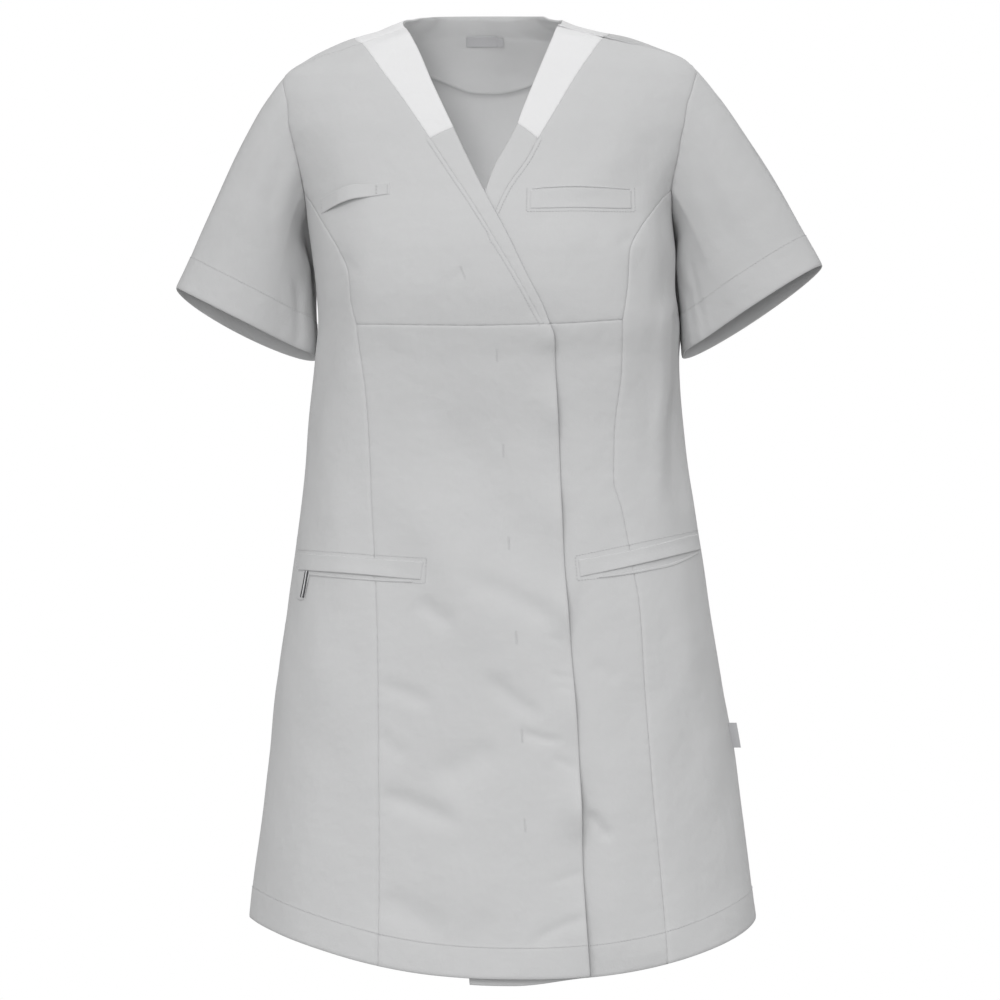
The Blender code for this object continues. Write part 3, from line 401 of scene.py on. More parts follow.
# %% Seams
RIGHT_SHOULDER = ((-196, 43), (-177, 33), (-155, 25.5), (-136, 18.4))
RIGHT_NECK_SHOULDER = ((-136, 18.4), (-117, 12.0), (-105, 8.0), (-92.5, 3.0))
RIGHT_PANEL_INNER = ((-92.5, 3.0), (-80, 25), (-65, 60), (-44, 105))
RIGHT_PANEL_OUTER = ((-136, 18.4), (-118, 44), (-97, 72), (-67, 116))
RIGHT_BAND_SEAM = ((-67, 116), (-25, 180), (-3, 216), (25, 263), (46.5, 302))
RIGHT_NECK_EDGE = ((-44, 105), (-17, 162), (11, 214.5), (29, 252), (46, 285), (52.5, 302))
RIGHT_UNDER_BUST = ((-140, 302.5), (-31, 303.7), (46.5, 302))
RIGHT_PRINCESS_BUST = ((-171.5, 205), (-157, 232), (-148.5, 253), (-146, 278), (-140, 302.5))
RIGHT_PRINCESS = (
    (-140, 302.5),
    (-129, 398),
    (-125.5, 484),
    (-121.5, 563),
    (-119, 660),
    (-118, 815),
    (-119, 943),
)
WRAP_EDGE = (
    (52.5, 302),
    (56.5, 314),
    (58, 350),
    (62, 435),
    (65, 511),
    (70, 586),
    (76, 660),
    (81, 738),
    (83.5, 810),
    (87.6, 896),
    (92, 956),
)
LEFT_SHOULDER = ((178, 33), (150, 23.5), (127, 18.0), (107, 13))
LEFT_NECK_SHOULDER = ((107, 13), (90, 8.6), (75, 5.0), (61, 2.0))
LEFT_PANEL_INNER = ((61, 2.0), (38, 57), (25, 89), (21, 100.5))
LEFT_PANEL_OUTER = ((107, 13), (81.6, 49), (61, 83), (41, 116))
LEFT_BAND_SEAM = ((41, 116), (29, 138), (10, 165), (-1, 188), (-24, 244), (-50, 301))
LEFT_NECK_EDGE = ((21, 100.5), (12.7, 117), (-3.3, 146), (-11.5, 169), (-32, 228), (-57, 301))
LEFT_UNDER_BUST = ((126, 298), (52.5, 302), (-50, 301))
LEFT_PRINCESS_BUST = ((168, 174.5), (143, 207), (133, 230), (131, 261), (126, 298))
LEFT_PRINCESS = (
    (126, 298),
    (125, 345),
    (118, 408),
    (117, 458),
    (125, 487),
    (137, 551),
    (143, 584),
    (148, 658),
    (155, 758),
    (164, 857),
    (171, 933),
)
UNDERLAP_EDGE = ((-57, 301), (-56, 333), (-42, 640), (-27, 956))

# Armholes and side seams, as (turn, drop) for a side at positive turns.
RIGHT_TIP_DROP = 53.0
LEFT_TIP_DROP = 41.0
RIGHT_ARMHOLE_FRONT = ((90, 53), (76, 66), (70, 84), (69.5, 104), (72, 135), (80.5, 170))
LEFT_ARMHOLE_FRONT = ((90, 41), (73, 60), (66, 84), (65.5, 104), (69.5, 135), (76, 168))
RIGHT_ARMHOLE_UNDER = ((80.5, 170), (90, 192), (99, 215), (107, 240))
LEFT_ARMHOLE_UNDER = ((76, 168), (88, 192), (98, 215), (107, 240))
RIGHT_ARMHOLE_BACK = ((90, 53), (101, 66), (110, 88), (117, 125), (118, 165), (114, 208), (107, 240))
LEFT_ARMHOLE_BACK = ((90, 41), (101, 56), (110, 80), (117, 120), (118, 162), (114, 206), (107, 240))
SIDE_SEAM_TURNS = ((107, 240), (102, 330), (95, 500), (91, 700))
SIDE_HEM_TURN = 90.0

# The hem hangs lowest at the centre front and back and rises towards the side seams.
HEM_DROP = 956.0
HEM_RISE = 55.0
HEM_CORNER = 5.0
HEM_SKEW = 4.5  # lower on the wearer's left half of the front than on the right
HEM_CORNER_POWER = 20
HEM_SQUARENESS = 2.3
UNDERLAP_EXTRA = 6.0  # the under front hangs this much lower
UNDERLAP_EXTRA_START = 14.0
UNDERLAP_EXTRA_END = 90.0

# The white band behind the neck and the facing inside it.
BACK_NECK_EDGE = ((-90, -2.6), (-125, -6.2), (-180, -7.4), (-235, -7.0), (-270, -3.2))
RIGHT_BAND_AT_RIDGE = (-90.0, 14.6)
LEFT_BAND_AT_RIDGE = (-270.0, 10.6)
BACK_BAND_EDGE = ((-134, 17.5), (-112, 22), (-70, 33), (-8, 39), (48, 33), (86, 21), (104, 14))
RIGHT_FACING_AT_RIDGE = (-90.0, 15.2)
LEFT_FACING_AT_RIDGE = (-270.0, 11.4)
FACING_EDGE = (
    (-136, 19),
    (-112, 31),
    (-69, 51),
    (-48, 59),
    (-21, 67.5),
    (-1, 68),
    (18, 65),
    (38, 58),
    (62, 45),
    (90, 27),
    (107, 15.5),
)
SEAM_POINTS = 60  # points that a seam's smooth curve is first worked out at


def stations(points, count):
    """Evenly spaced (turn, drop) points along a smooth curve on the form."""
    points = np.asarray(points, float)
    place = form(points[:, 0], points[:, 1])
    length = np.append(0, np.cumsum(np.linalg.norm(np.diff(place, axis=0), axis=1)))
    at = np.linspace(0, length[-1], count + 1)
    return np.stack([eased(length, points[:, k], at) for k in range(2)], axis=1)


def length_of(curve):
    """How long a (turn, drop) curve is on the form, in millimetres."""
    dense = stations(curve, 200)
    return np.linalg.norm(np.diff(form(dense[:, 0], dense[:, 1]), axis=0), axis=1).sum()


def on_face(rows, face="front"):
    """Turns a table of (across, drop) on the front or the back into close (turn, drop) points."""
    rows = np.asarray(rows, float)
    length = np.append(0, np.cumsum(np.linalg.norm(np.diff(rows, axis=0), axis=1)))
    at = np.unique(np.append(np.linspace(0, length[-1], SEAM_POINTS), length))
    across, drop = (eased(length, rows[:, k], at) for k in range(2))
    return np.stack([turn_of(across, drop, face), drop], axis=1)


def join(*curves):
    """One curve from several that follow each other."""
    return np.concatenate([curves[0]] + [curve[1:] for curve in curves[1:]])


def edge(count, *curves):
    """One curve of count cells along several, each cut in its share of them so corners stay."""
    lengths = np.array([length_of(curve) for curve in curves])
    shares = np.round(np.cumsum(lengths) / lengths.sum() * count).astype(int)
    counts = np.diff(np.append(0, shares))
    return join(*[stations(curve, n) for curve, n in zip(curves, counts)])


def patch(top, bottom, left, right):
    """Coons patch: the two ruled surfaces between facing curves, less the one of the corners."""
    v = np.linspace(0, 1, len(left))[:, None, None]
    u = np.linspace(0, 1, len(top))[None, :, None]
    across = (1 - u) * left[:, None] + u * right[:, None]
    down = (1 - v) * top[None] + v * bottom[None]
    ends = (1 - v) * ((1 - u) * top[0] + u * top[-1])
    ends = ends + v * ((1 - u) * bottom[0] + u * bottom[-1])
    return across + down - ends


LEAST_STEP = 0.6  # in millimetres


def face_patch(face, top, bottom, left, right):
    """A patch worked out in (across, drop), for a piece that lies on one face of the form."""
    flat = []
    for curve in (top, bottom, left, right):
        place = form(curve[:, 0], curve[:, 1])
        flat.append(np.stack([place[:, 0], curve[:, 1]], axis=1))
    # The top may step back a little where it passes a corner; below it the columns must not cross.
    way = np.sign(flat[0][-1, 0] - flat[0][0, 0])
    least = LEAST_STEP * np.arange(len(flat[0]))
    flat[0][:, 0] = way * (np.maximum.accumulate(way * flat[0][:, 0] - least) + least)
    grid = patch(*flat)
    grid[..., 0] = turn_of(grid[..., 0], grid[..., 1], face)
    grid[0] = top
    grid[-1] = bottom
    grid[:, 0] = left
    grid[:, -1] = right
    return grid


def hem_drop(turn, extra=0.0):
    """The drop of the hem: lowest at front and back, higher by a power of the sine at the sides."""
    side = np.abs(np.sin(np.radians(turn))) ** (2 / HEM_SQUARENESS)
    skew = HEM_SKEW * np.sin(2 * np.radians(turn)) * np.sign(np.cos(np.radians(turn)))
    return HEM_DROP + extra + skew - HEM_RISE * side**2 - HEM_CORNER * side**HEM_CORNER_POWER


def with_hem(rows, extra=0.0):
    """A seam whose last point is set on the hem."""
    across, drop = rows[-1]
    for _ in range(3):
        drop = float(hem_drop(turn_of(across, drop), extra))
    return on_face(rows[:-1] + ((across, drop),))


def hem_between(start, end, count, lower=None):
    """The hem from one (turn, drop) point to another."""
    turn = np.linspace(start[0], end[0], count + 1)
    drop = hem_drop(turn)
    if lower is not None:
        drop = drop + lower(turn, drop)
    points = np.stack([turn, drop], axis=1)
    points[0] = start
    points[-1] = end
    return points


def underlap_extra(turn, drop):
    """How much lower than the hem the under front hangs."""
    across = form(turn, drop)[..., 0]
    share = (UNDERLAP_EXTRA_END - across) / (UNDERLAP_EXTRA_END - UNDERLAP_EXTRA_START)
    return UNDERLAP_EXTRA * smooth_step(share)


def wrapped(rows):
    """Rows at the wearer's left side, counted on round the back from the wearer's right side."""
    return np.asarray(rows, float) - (360, 0)


def behind_neck(right_end, rows, left_end):
    """A seam round the back of the neck, from the ridge of one shoulder to the other."""
    return np.vstack([right_end, on_face(rows, "back"), left_end])


def over_ridge(seam, ridge, rows):
    """The strip between a shoulder seam and the ridge of the shoulder."""
    share = np.linspace(0, 1, rows + 1)[:, None, None]
    return (1 - share) * seam + share * ridge


SIDE_SEAM = np.array(SIDE_SEAM_TURNS + ((SIDE_HEM_TURN, float(hem_drop(SIDE_HEM_TURN))),))
print("side seam:", round(length_of(SIDE_SEAM)), "mm")

# %% [markdown]
# ## The wrap
# The upper front climbs onto the under front along its edge and then stands off it, and here and
# there its free edge bows out further, which throws the short shadows down the front.

# %% The wrap
LAP = 3.0  # how far the upper front stands off where it lies over the other front
LAP_RAMP = 50.0  # width over which it climbs
LAP_CLEAR = 10.0  # the climb ends this far before the under front's edge
EDGE_LIFTS = (
    # drop, height, half_length
    (314, 3.5, 14),
    (388, 5.0, 26),
    (493, 4.0, 24),
    (590, 6.0, 22),
    (684, 3.5, 26),
    (788, 11.0, 30),
    (915, 6.0, 46),
)
HEM_SETBACK = 3.5  # how far the under front hangs back at the hem
SETBACK_DROP, SETBACK_HEIGHT = 925, 35  # where that starts, and the height over which it grows
LIFT_REACH = 20.0  # how far in from the edge a lift reaches


def lift_of_upper_front(turn, drop):
    """The climb is a smooth step across; each lift is a bell curve down the edge and in from it."""
    across = form(turn, drop)[..., 0]
    under = np.array(LEFT_PANEL_INNER[:-1] + LEFT_NECK_EDGE + UNDERLAP_EDGE[1:])
    past_under = across - eased(under[:, 1], under[:, 0], drop)
    climb = smooth_step((past_under + LAP_CLEAR + LAP_RAMP) / LAP_RAMP)
    upper = np.array(RIGHT_NECK_EDGE + WRAP_EDGE[1:])
    from_edge = eased(upper[:, 1], upper[:, 0], drop) - across
    near_edge = np.exp(-((from_edge / LIFT_REACH) ** 2))
    lift = np.zeros_like(across)
    for at, height, half_length in EDGE_LIFTS:
        lift += height * np.exp(-(((drop - at) / half_length) ** 2))
    return LAP * climb + lift * near_edge + creased(turn, drop, UPPER_CREASES)


def lift_of_under_front(turn, drop):
    """The other front lies on the form, but for its own creases, and hangs back at the hem."""
    setback = HEM_SETBACK * smooth_step((drop - SETBACK_DROP) / SETBACK_HEIGHT)
    return creased(turn, drop, UNDER_CREASES) - setback


def no_lift(turn, drop):
    """Cloth that lies on the form itself."""
    return 0 * np.asarray(turn, float)


print("edge lifts:", len(EDGE_LIFTS))

# %% [markdown]
# ## Cloth as a closed shell
# A piece of cloth can be a single sheet with a Solidify modifier. Here the wall is made at once:
# the outer face, the same face again one wall thickness further in, and a rounded rim between
# them. Two numbers are kept at each point for the materials: how far it is from the nearest sewn
# seam, and its place along the weave, with threads that run down the body and round it.

# %% Cloth as a closed shell
WALL = 1.2  # thickness of one layer of cloth
RIM_BULGE = 0.42  # how far a rim rounds out, in walls
SEAM_DIP = 0.35  # depth of the groove that a seam pulls into the cloth
SEAM_DIP_WIDTH = 1.9
SEAM_LIP = 0.4  # the cloth turned in at a seam makes the wall this much thicker there
STITCH_INSET = 4.0  # a topstitched seam has its stitches this far from it
PUCKER = 0.22  # height of the small ripples beside a seam
PUCKER_WIDTH = 9.0
PUCKER_WAVES = (11.0, 17.0, 29.0)
EDGE_ROLL = 0.5  # how far a folded edge rolls inwards
EDGE_ROLL_WIDTH = 1.6
HEM_STEP = 0.35  # the doubled hem is this much higher
NEAR_CHUNK = 1500  # places whose distances are worked out at once
GRAIN_STEPS = 24  # steps that the arc round the form is added up in
DENSE_STEP = 1.5  # millimetres between the points of a dense curve

FAR = 99.0  # stands for "no seam near"
CLOTH_GRAIN = "grain"
SEAM_FIELD = "seam_mm"
STITCH_FIELD = "stitch_mm"


def near(places, curve):
    """Distance from each place to a dense curve, and how far along the curve it lies."""
    samples = form(curve[:, 0], curve[:, 1])
    along = np.append(0, np.cumsum(np.linalg.norm(np.diff(samples, axis=0), axis=1)))
    distance = np.empty(len(places))
    arc = np.empty(len(places))
    for start in range(0, len(places), NEAR_CHUNK):
        part = places[start : start + NEAR_CHUNK]
        gaps = np.linalg.norm(part[:, None] - samples[None], axis=2)
        index = gaps.argmin(axis=1)
        distance[start : start + NEAR_CHUNK] = gaps[np.arange(len(part)), index]
        arc[start : start + NEAR_CHUNK] = along[index]
    return distance, arc


def dense(curve):
    """The curve with close, even points, for measuring distances to it."""
    return stations(curve, max(int(length_of(curve) / DENSE_STEP), 4))


def ripple_of(arc):
    """Uneven small waves along a seam: the mean of three sines."""
    return sum(np.sin(2 * math.pi * arc / wave + wave) for wave in PUCKER_WAVES) / len(PUCKER_WAVES)


def nearer(first, second):
    """Of two signed distances, the one that is closer to zero."""
    return np.where(np.abs(first) < np.abs(second), first, second)


def edge_relief(turn, drop, edges):
    """Seams pull a groove and puckers into the cloth, folded edges roll in, hems are doubled."""
    turn = np.asarray(turn, float)
    places = form(turn, drop).reshape(-1, 3)
    height = np.zeros(len(places))
    to_seam = np.full(len(places), FAR)
    to_stitch = np.full(len(places), FAR)
    for kind, curve in edges:
        distance, arc = near(places, curve)
        if kind in ("seam", "stitched"):
            height -= SEAM_DIP * np.exp(-((distance / SEAM_DIP_WIDTH) ** 2))
            height += PUCKER * ripple_of(arc) * np.exp(-((distance / PUCKER_WIDTH) ** 2))
            to_seam = np.minimum(to_seam, distance)
            if kind == "stitched":
                to_stitch = nearer(to_stitch, distance - STITCH_INSET)
        else:
            height -= EDGE_ROLL * np.exp(-((distance / EDGE_ROLL_WIDTH) ** 2))
            if kind != "fold":
                height += HEM_STEP * smooth_step((kind - distance) / 2 + 0.5)
                height += PUCKER * ripple_of(arc) * np.exp(-(((distance - kind) / PUCKER_WIDTH) ** 2))
                to_stitch = nearer(to_stitch, distance - kind)
    shape = turn.shape
    return height.reshape(shape), np.stack([to_seam, to_stitch]).reshape((2,) + shape)


def worn(turn, drop, height):
    """A point of the worn cloth in millimetres: the form moved out along its normal, and back."""
    place = form(turn, drop) + form_normal(turn, drop) * np.asarray(height)[..., None]
    place[..., 1] += fold_push(turn, drop)
    return place


def grain_of(turn, drop):
    """Place along the weave in metres: the arc round the form from the centre front, and the drop."""
    share = np.linspace(0, 1, GRAIN_STEPS + 1)
    turns = np.asarray(turn, float)[:, None] * share
    ring_points = form(turns, np.asarray(drop, float)[:, None] + 0 * turns)
    arc = np.linalg.norm(np.diff(ring_points, axis=1), axis=2).sum(axis=1)
    return np.stack([np.sign(turn) * arc, -np.asarray(drop, float)], axis=1) * MM


def quads_of(index):
    """The cells of a grid of point numbers, as rows of four."""
    corners = [index[:-1, :-1], index[1:, :-1], index[1:, 1:], index[:-1, 1:]]
    return np.stack(corners, axis=-1).reshape(-1, 4)


def closed(index):
    """A grid of point numbers with its first column repeated at the end, for a tube."""
    return np.concatenate([index, index[:, :1]], axis=1)


def turned_out(cells, points, out_way):
    """The cells, turned over if most of them face inwards, and their area."""
    a, b, c, d = (points[cells[:, k]] for k in range(4))
    across = np.cross(c - a, d - b)
    if np.median(np.sum(across * out_way[cells[:, 0]], axis=1)) < 0:
        cells = cells[:, ::-1]
    return cells, np.linalg.norm(across, axis=1).sum() / 2


def shell(name, outer, inner, cells, finish, uv, fields=None):
    """Outer and inner faces joined by a rim that rounds out by a share of the wall."""
    count = len(outer)
    cells = cells[np.array([len(set(cell)) for cell in cells.tolist()]) > 2]
    sides = np.concatenate([cells[:, [k, (k + 1) % 4]] for k in range(4)])
    sides = sides[sides[:, 0] != sides[:, 1]]
    codes = sides[:, 0] * count + sides[:, 1]
    rims = sides[~np.isin(codes, sides[:, 1] * count + sides[:, 0])]
    middle = (outer + inner) / 2
    push = np.zeros_like(outer)
    along = unit(outer[rims[:, 1]] - outer[rims[:, 0]])
    wall_way = unit(outer[rims[:, 0]] - inner[rims[:, 0]])
    side_way = np.cross(along, wall_way)
    for k in range(2):
        np.add.at(push, rims[:, k], side_way)
    used, place = np.unique(rims, return_inverse=True)
    place = place.reshape(rims.shape)
    thickness = np.linalg.norm(outer[used] - inner[used], axis=1, keepdims=True)
    mid_points = middle[used] + unit(push[used]) * thickness * RIM_BULGE
    vertices = np.concatenate([outer, inner, mid_points]) * MM
    a, b = rims[:, 0], rims[:, 1]
    mid_a, mid_b = place[:, 0] + 2 * count, place[:, 1] + 2 * count
    faces = np.concatenate(
        [
            cells,
            cells[:, ::-1] + count,
            np.stack([b, a, mid_a, mid_b], axis=1),
            np.stack([mid_b, mid_a, a + count, b + count], axis=1),
        ]
    )
    source = np.concatenate([np.arange(count), np.arange(count), used])
    if fields is not None:
        fields = fields[:, source]
    return mesh_piece(name, vertices, faces, finish, uv[source], fields)


def mesh_piece(name, vertices, faces, finish, uv, fields=None):
    """Puts points (metres) and rows of four corners into a smooth mesh with its weave map."""
    doubled = faces == np.roll(faces, 1, axis=1)
    three = doubled.any(axis=1)
    corners = np.concatenate([faces[~three].reshape(-1), faces[three][~doubled[three]].reshape(-1)])
    totals = np.concatenate([np.full((~three).sum(), 4), np.full(three.sum(), 3)])
    mesh = bpy.data.meshes.new(name)
    mesh.vertices.add(len(vertices))
    mesh.vertices.foreach_set("co", np.ascontiguousarray(vertices, np.float32).reshape(-1))
    mesh.loops.add(len(corners))
    mesh.loops.foreach_set("vertex_index", corners.astype(np.int32))
    mesh.polygons.add(len(totals))
    mesh.polygons.foreach_set("loop_start", np.append(0, np.cumsum(totals)[:-1]).astype(np.int32))
    mesh.update(calc_edges=True)
    layer = mesh.uv_layers.new(name=CLOTH_GRAIN)
    layer.data.foreach_set("uv", uv[corners].astype(np.float32).reshape(-1))
    for k, field_name in enumerate((SEAM_FIELD, STITCH_FIELD)):
        field = mesh.attributes.new(field_name, "FLOAT", "POINT")
        values = np.full(len(vertices), FAR) if fields is None else fields[k]
        field.data.foreach_set("value", np.ascontiguousarray(values, np.float32))
    mesh.materials.append(finish)
    mesh.shade_smooth()
    piece = bpy.data.objects.new(name, mesh)
    bpy.context.scene.collection.objects.link(piece)
    return piece


def triangles_of(piece):
    """How many triangles a piece has."""
    return int(sum(len(polygon.vertices) - 2 for polygon in piece.data.polygons))


print("wall:", WALL, "mm, rim bulge:", RIM_BULGE)

# %% [markdown]
# ## Cloth finishes
# The cloth is a fine twill of polyester and cotton, pale grey on the body and white at the neck. A
# photograph of the weave could be tiled over it, but it would repeat. The weave is worked out
# instead: a slanted wave for the ribs of the twill and two straight ones for the threads, all along
# the weave's own map, so the ribs run on unbroken over each piece. One group holds it, and each
# cloth places that group with its own thread size.

# %% Cloth finishes
RIB_PITCH = 0.0009  # metres from one rib of the twill to the next
THREAD_PITCH = 0.00045
RIB_HEIGHT = 0.00010
CRUMPLE_SIZE = 26.0  # noise cells in a metre
CRUMPLE_HEIGHT = 0.0024
FINE_CRUMPLE_SIZE = 110.0
FINE_CRUMPLE_SHARE = 0.16
SEAM_LINE = 0.5  # half width in millimetres of the groove in a seam and of its painted shade
SEAM_PAINTED_SHADE = 0.06  # how much painted shade darkens the seam's groove
SEAM_LINE_HEIGHT = 0.00016
STITCH_LINE = 0.6  # half width of the faint groove that a row of stitches pulls in, and of the painted shade in it
# painted shade in the groove of a row of stitches
STITCH_PAINTED_SHADE = 0.03
STITCH_LINE_HEIGHT = 0.00012


def new_group(name, inputs, outputs):
    """A node group with inputs as (name, value or None for a place); and its entry and exit."""
    group = bpy.data.node_groups.new(name, "ShaderNodeTree")
    for label, value in inputs:
        kind = "NodeSocketVector" if value is None else "NodeSocketFloat"
        made = group.interface.new_socket(name=label, in_out="INPUT", socket_type=kind)
        if value is not None:
            made.default_value = value
    for label in outputs:
        group.interface.new_socket(name=label, in_out="OUTPUT", socket_type="NodeSocketFloat")
    return group, group.nodes.new("NodeGroupInput"), group.nodes.new("NodeGroupOutput")


def wire(tree, start, end):
    """Links two sockets."""
    tree.links.new(start, end)


def math_node(tree, operation, first, second=None, third=None):
    """A Math node whose inputs are sockets or numbers; gives back its output."""
    node = tree.nodes.new("ShaderNodeMath")
    node.operation = operation
    for k, value in enumerate((first, second, third)):
        if value is None:
            continue
        if isinstance(value, (int, float)):
            node.inputs[k].default_value = value
        else:
            wire(tree, value, node.inputs[k])
    return node.outputs[0]


twill, entry, leave = new_group(
    "twill",
    [("Place", None), ("Rib pitch", RIB_PITCH), ("Thread pitch", THREAD_PITCH)],
    ["Height", "Shade"],
)
split = twill.nodes.new("ShaderNodeSeparateXYZ")
wire(twill, entry.outputs["Place"], split.inputs[0])


def wave(tree, place, pitch):
    """A sine that repeats once in each pitch, from 0 to 1."""
    phase = math_node(tree, "MULTIPLY", math_node(tree, "DIVIDE", place, pitch), 2 * math.pi)
    return math_node(tree, "MULTIPLY_ADD", math_node(tree, "SINE", phase), 0.5, 0.5)


slant = math_node(twill, "ADD", split.outputs[0], split.outputs[1])
rib = wave(twill, slant, entry.outputs["Rib pitch"])
warp = wave(twill, split.outputs[0], entry.outputs["Thread pitch"])
weft = wave(twill, split.outputs[1], entry.outputs["Thread pitch"])
threads = math_node(twill, "MULTIPLY", warp, weft)
height = math_node(twill, "MULTIPLY_ADD", rib, 0.7, math_node(twill, "MULTIPLY", threads, 0.3))
wire(twill, height, leave.inputs["Height"])
wire(twill, math_node(twill, "MULTIPLY_ADD", height, 0.06, 0.97), leave.inputs["Shade"])

# The second group gives the soft, uneven look of washed cloth: slow changes of shade and crumple.
washed, entry, leave = new_group("washed_cloth", [("Shade change", 0.03)], ["Shade", "Crumple"])
body_place = washed.nodes.new("ShaderNodeTexCoord").outputs["Object"]


def noise(tree, place, scale, detail, roughness):
    """A Noise node's value at a place."""
    node = tree.nodes.new("ShaderNodeTexNoise")
    node.inputs["Scale"].default_value = scale
    node.inputs["Detail"].default_value = detail
    node.inputs["Roughness"].default_value = roughness
    wire(tree, place, node.inputs["Vector"])
    return node.outputs[0]


mottle = noise(washed, body_place, 9.0, 3.0, 0.55)
slubs = noise(washed, body_place, 420.0, 2.0, 0.5)
mixed = math_node(washed, "MULTIPLY_ADD", slubs, 0.35, math_node(washed, "MULTIPLY", mottle, 0.65))
off_mean = math_node(washed, "SUBTRACT", mixed, 0.5)
change = math_node(washed, "MULTIPLY", off_mean, entry.outputs["Shade change"])
wire(washed, math_node(washed, "ADD", change, 1.0), leave.inputs["Shade"])
wide = noise(washed, body_place, CRUMPLE_SIZE, 2.0, 0.5)
fine = noise(washed, body_place, FINE_CRUMPLE_SIZE, 3.0, 0.6)
wire(washed, math_node(washed, "MULTIPLY_ADD", fine, FINE_CRUMPLE_SHARE, wide), leave.inputs["Crumple"])

# The third draws a sewn line: a narrow groove round where a distance is zero, with painted shade in it.
sewn_groove_shade, entry, leave = new_group(
    "sewn_groove_shade",
    [("Distance", FAR), ("Half width", SEAM_LINE), ("Painted shade", SEAM_PAINTED_SHADE)],
    ["Depth", "Shade"],
)
ratio = math_node(sewn_groove_shade, "DIVIDE", entry.outputs["Distance"], entry.outputs["Half width"])
square = math_node(sewn_groove_shade, "MULTIPLY", ratio, ratio)
bell = math_node(sewn_groove_shade, "EXPONENT", math_node(sewn_groove_shade, "MULTIPLY", square, -1.0))
wire(sewn_groove_shade, math_node(sewn_groove_shade, "MULTIPLY", bell, -1.0), leave.inputs["Depth"])
# Painted shade: the colour is darkened along the groove by the same bell.
groove_shade = math_node(sewn_groove_shade, "MULTIPLY", bell, entry.outputs["Painted shade"])
wire(sewn_groove_shade, math_node(sewn_groove_shade, "SUBTRACT", 1.0, groove_shade), leave.inputs["Shade"])


# field, half width, painted shade, groove depth
SEWN_LINES = (
    (SEAM_FIELD, SEAM_LINE, SEAM_PAINTED_SHADE, SEAM_LINE_HEIGHT),
    (STITCH_FIELD, STITCH_LINE, STITCH_PAINTED_SHADE, STITCH_LINE_HEIGHT),
)


def grouped(tree, group):
    """Places a node group in a material."""
    node = tree.nodes.new("ShaderNodeGroup")
    node.node_tree = group
    return node


def cloth_finish(name, colour, shade_change, rib_pitch, thread_pitch, rough, sheen, seams=True):
    """A cloth material: colour times weave, wash and the painted shade of seam grooves, with the weave
    raised.
    """
    material = bpy.data.materials.new(name)
    material.use_nodes = True
    tree = material.node_tree
    shader = tree.nodes["Principled BSDF"]
    shader.inputs["Roughness"].default_value = rough
    shader.inputs["Sheen Weight"].default_value = sheen
    shader.inputs["Sheen Roughness"].default_value = 0.55
    shader.inputs["Specular IOR Level"].default_value = 0.25
    weave_place = tree.nodes.new("ShaderNodeUVMap")
    weave_place.uv_map = CLOTH_GRAIN
    weave = grouped(tree, twill)
    weave.inputs["Rib pitch"].default_value = rib_pitch
    weave.inputs["Thread pitch"].default_value = thread_pitch
    wire(tree, weave_place.outputs[0], weave.inputs["Place"])
    wash = grouped(tree, washed)
    wash.inputs["Shade change"].default_value = shade_change
    shade = math_node(tree, "MULTIPLY", weave.outputs["Shade"], wash.outputs["Shade"])
    height = math_node(tree, "MULTIPLY", weave.outputs["Height"], RIB_HEIGHT)
    height = math_node(tree, "MULTIPLY_ADD", wash.outputs["Crumple"], CRUMPLE_HEIGHT, height)
    # Each seam and each row of stitches gets a groove in the bump, and painted shade in the colour.
    for field, half_width, painted_shade_by, deep in SEWN_LINES if seams else ():
        distance = tree.nodes.new("ShaderNodeAttribute")
        distance.attribute_name = field
        line = grouped(tree, sewn_groove_shade)
        line.inputs["Half width"].default_value = half_width
        line.inputs["Painted shade"].default_value = painted_shade_by
        wire(tree, distance.outputs["Fac"], line.inputs["Distance"])
        shade = math_node(tree, "MULTIPLY", shade, line.outputs["Shade"])
        height = math_node(tree, "MULTIPLY_ADD", line.outputs["Depth"], deep, height)
    tint = tree.nodes.new("ShaderNodeMix")
    tint.data_type = "RGBA"
    tint.blend_type = "MULTIPLY"
    tint.inputs["Factor"].default_value = 1.0
    tint.inputs["A"].default_value = (*colour, 1)
    grey = tree.nodes.new("ShaderNodeCombineColor")
    for channel in grey.inputs:
        wire(tree, shade, channel)
    wire(tree, grey.outputs[0], tint.inputs["B"])
    wire(tree, tint.outputs["Result"], shader.inputs["Base Color"])
    bump = tree.nodes.new("ShaderNodeBump")
    bump.inputs["Strength"].default_value = 1.0
    bump.inputs["Distance"].default_value = 1.0
    wire(tree, height, bump.inputs["Height"])
    wire(tree, bump.outputs[0], shader.inputs["Normal"])
    return material


grey_twill = cloth_finish("grey_twill", (0.52, 0.522, 0.525), 0.05, RIB_PITCH, THREAD_PITCH, 0.85, 0.15)
white_twill = cloth_finish("white_twill", (0.70, 0.70, 0.705), 0.03, RIB_PITCH, THREAD_PITCH, 0.85, 0.15)
grey_ribbon = cloth_finish("grey_ribbon", (0.40, 0.40, 0.41), 0.06, 0.0012, 0.0006, 0.7, 0.1, False)
dark_tape = cloth_finish("dark_tape", (0.07, 0.07, 0.075), 0.06, 0.0012, 0.0006, 0.7, 0.1, False)
grey_thread = cloth_finish("grey_thread", (0.50, 0.50, 0.505), 0.05, 0.0004, 0.0002, 0.6, 0.1, False)
print("finishes:", [m.name for m in bpy.data.materials if m.use_nodes][:12])

# %% [markdown]
# ## Cut pieces
# Each piece is a patch between its own seams, made into a shell. The edge kinds say what a maker
# did there: a seam is sewn to its neighbour, a fold is a finished edge, and a number is a hem that
# is turned up by that many millimetres. What a piece measures flat is taken from the patch itself,
# because worn cloth bends but hardly stretches.

# %% Cut pieces
CELL = 2.7  # size of a cell of the fronts, in millimetres
BACK_CELL = 4.4
NECK_CELL = 1.8
HEM_DEPTH = 31.0  # how much of the hem is turned up
pieces = {}


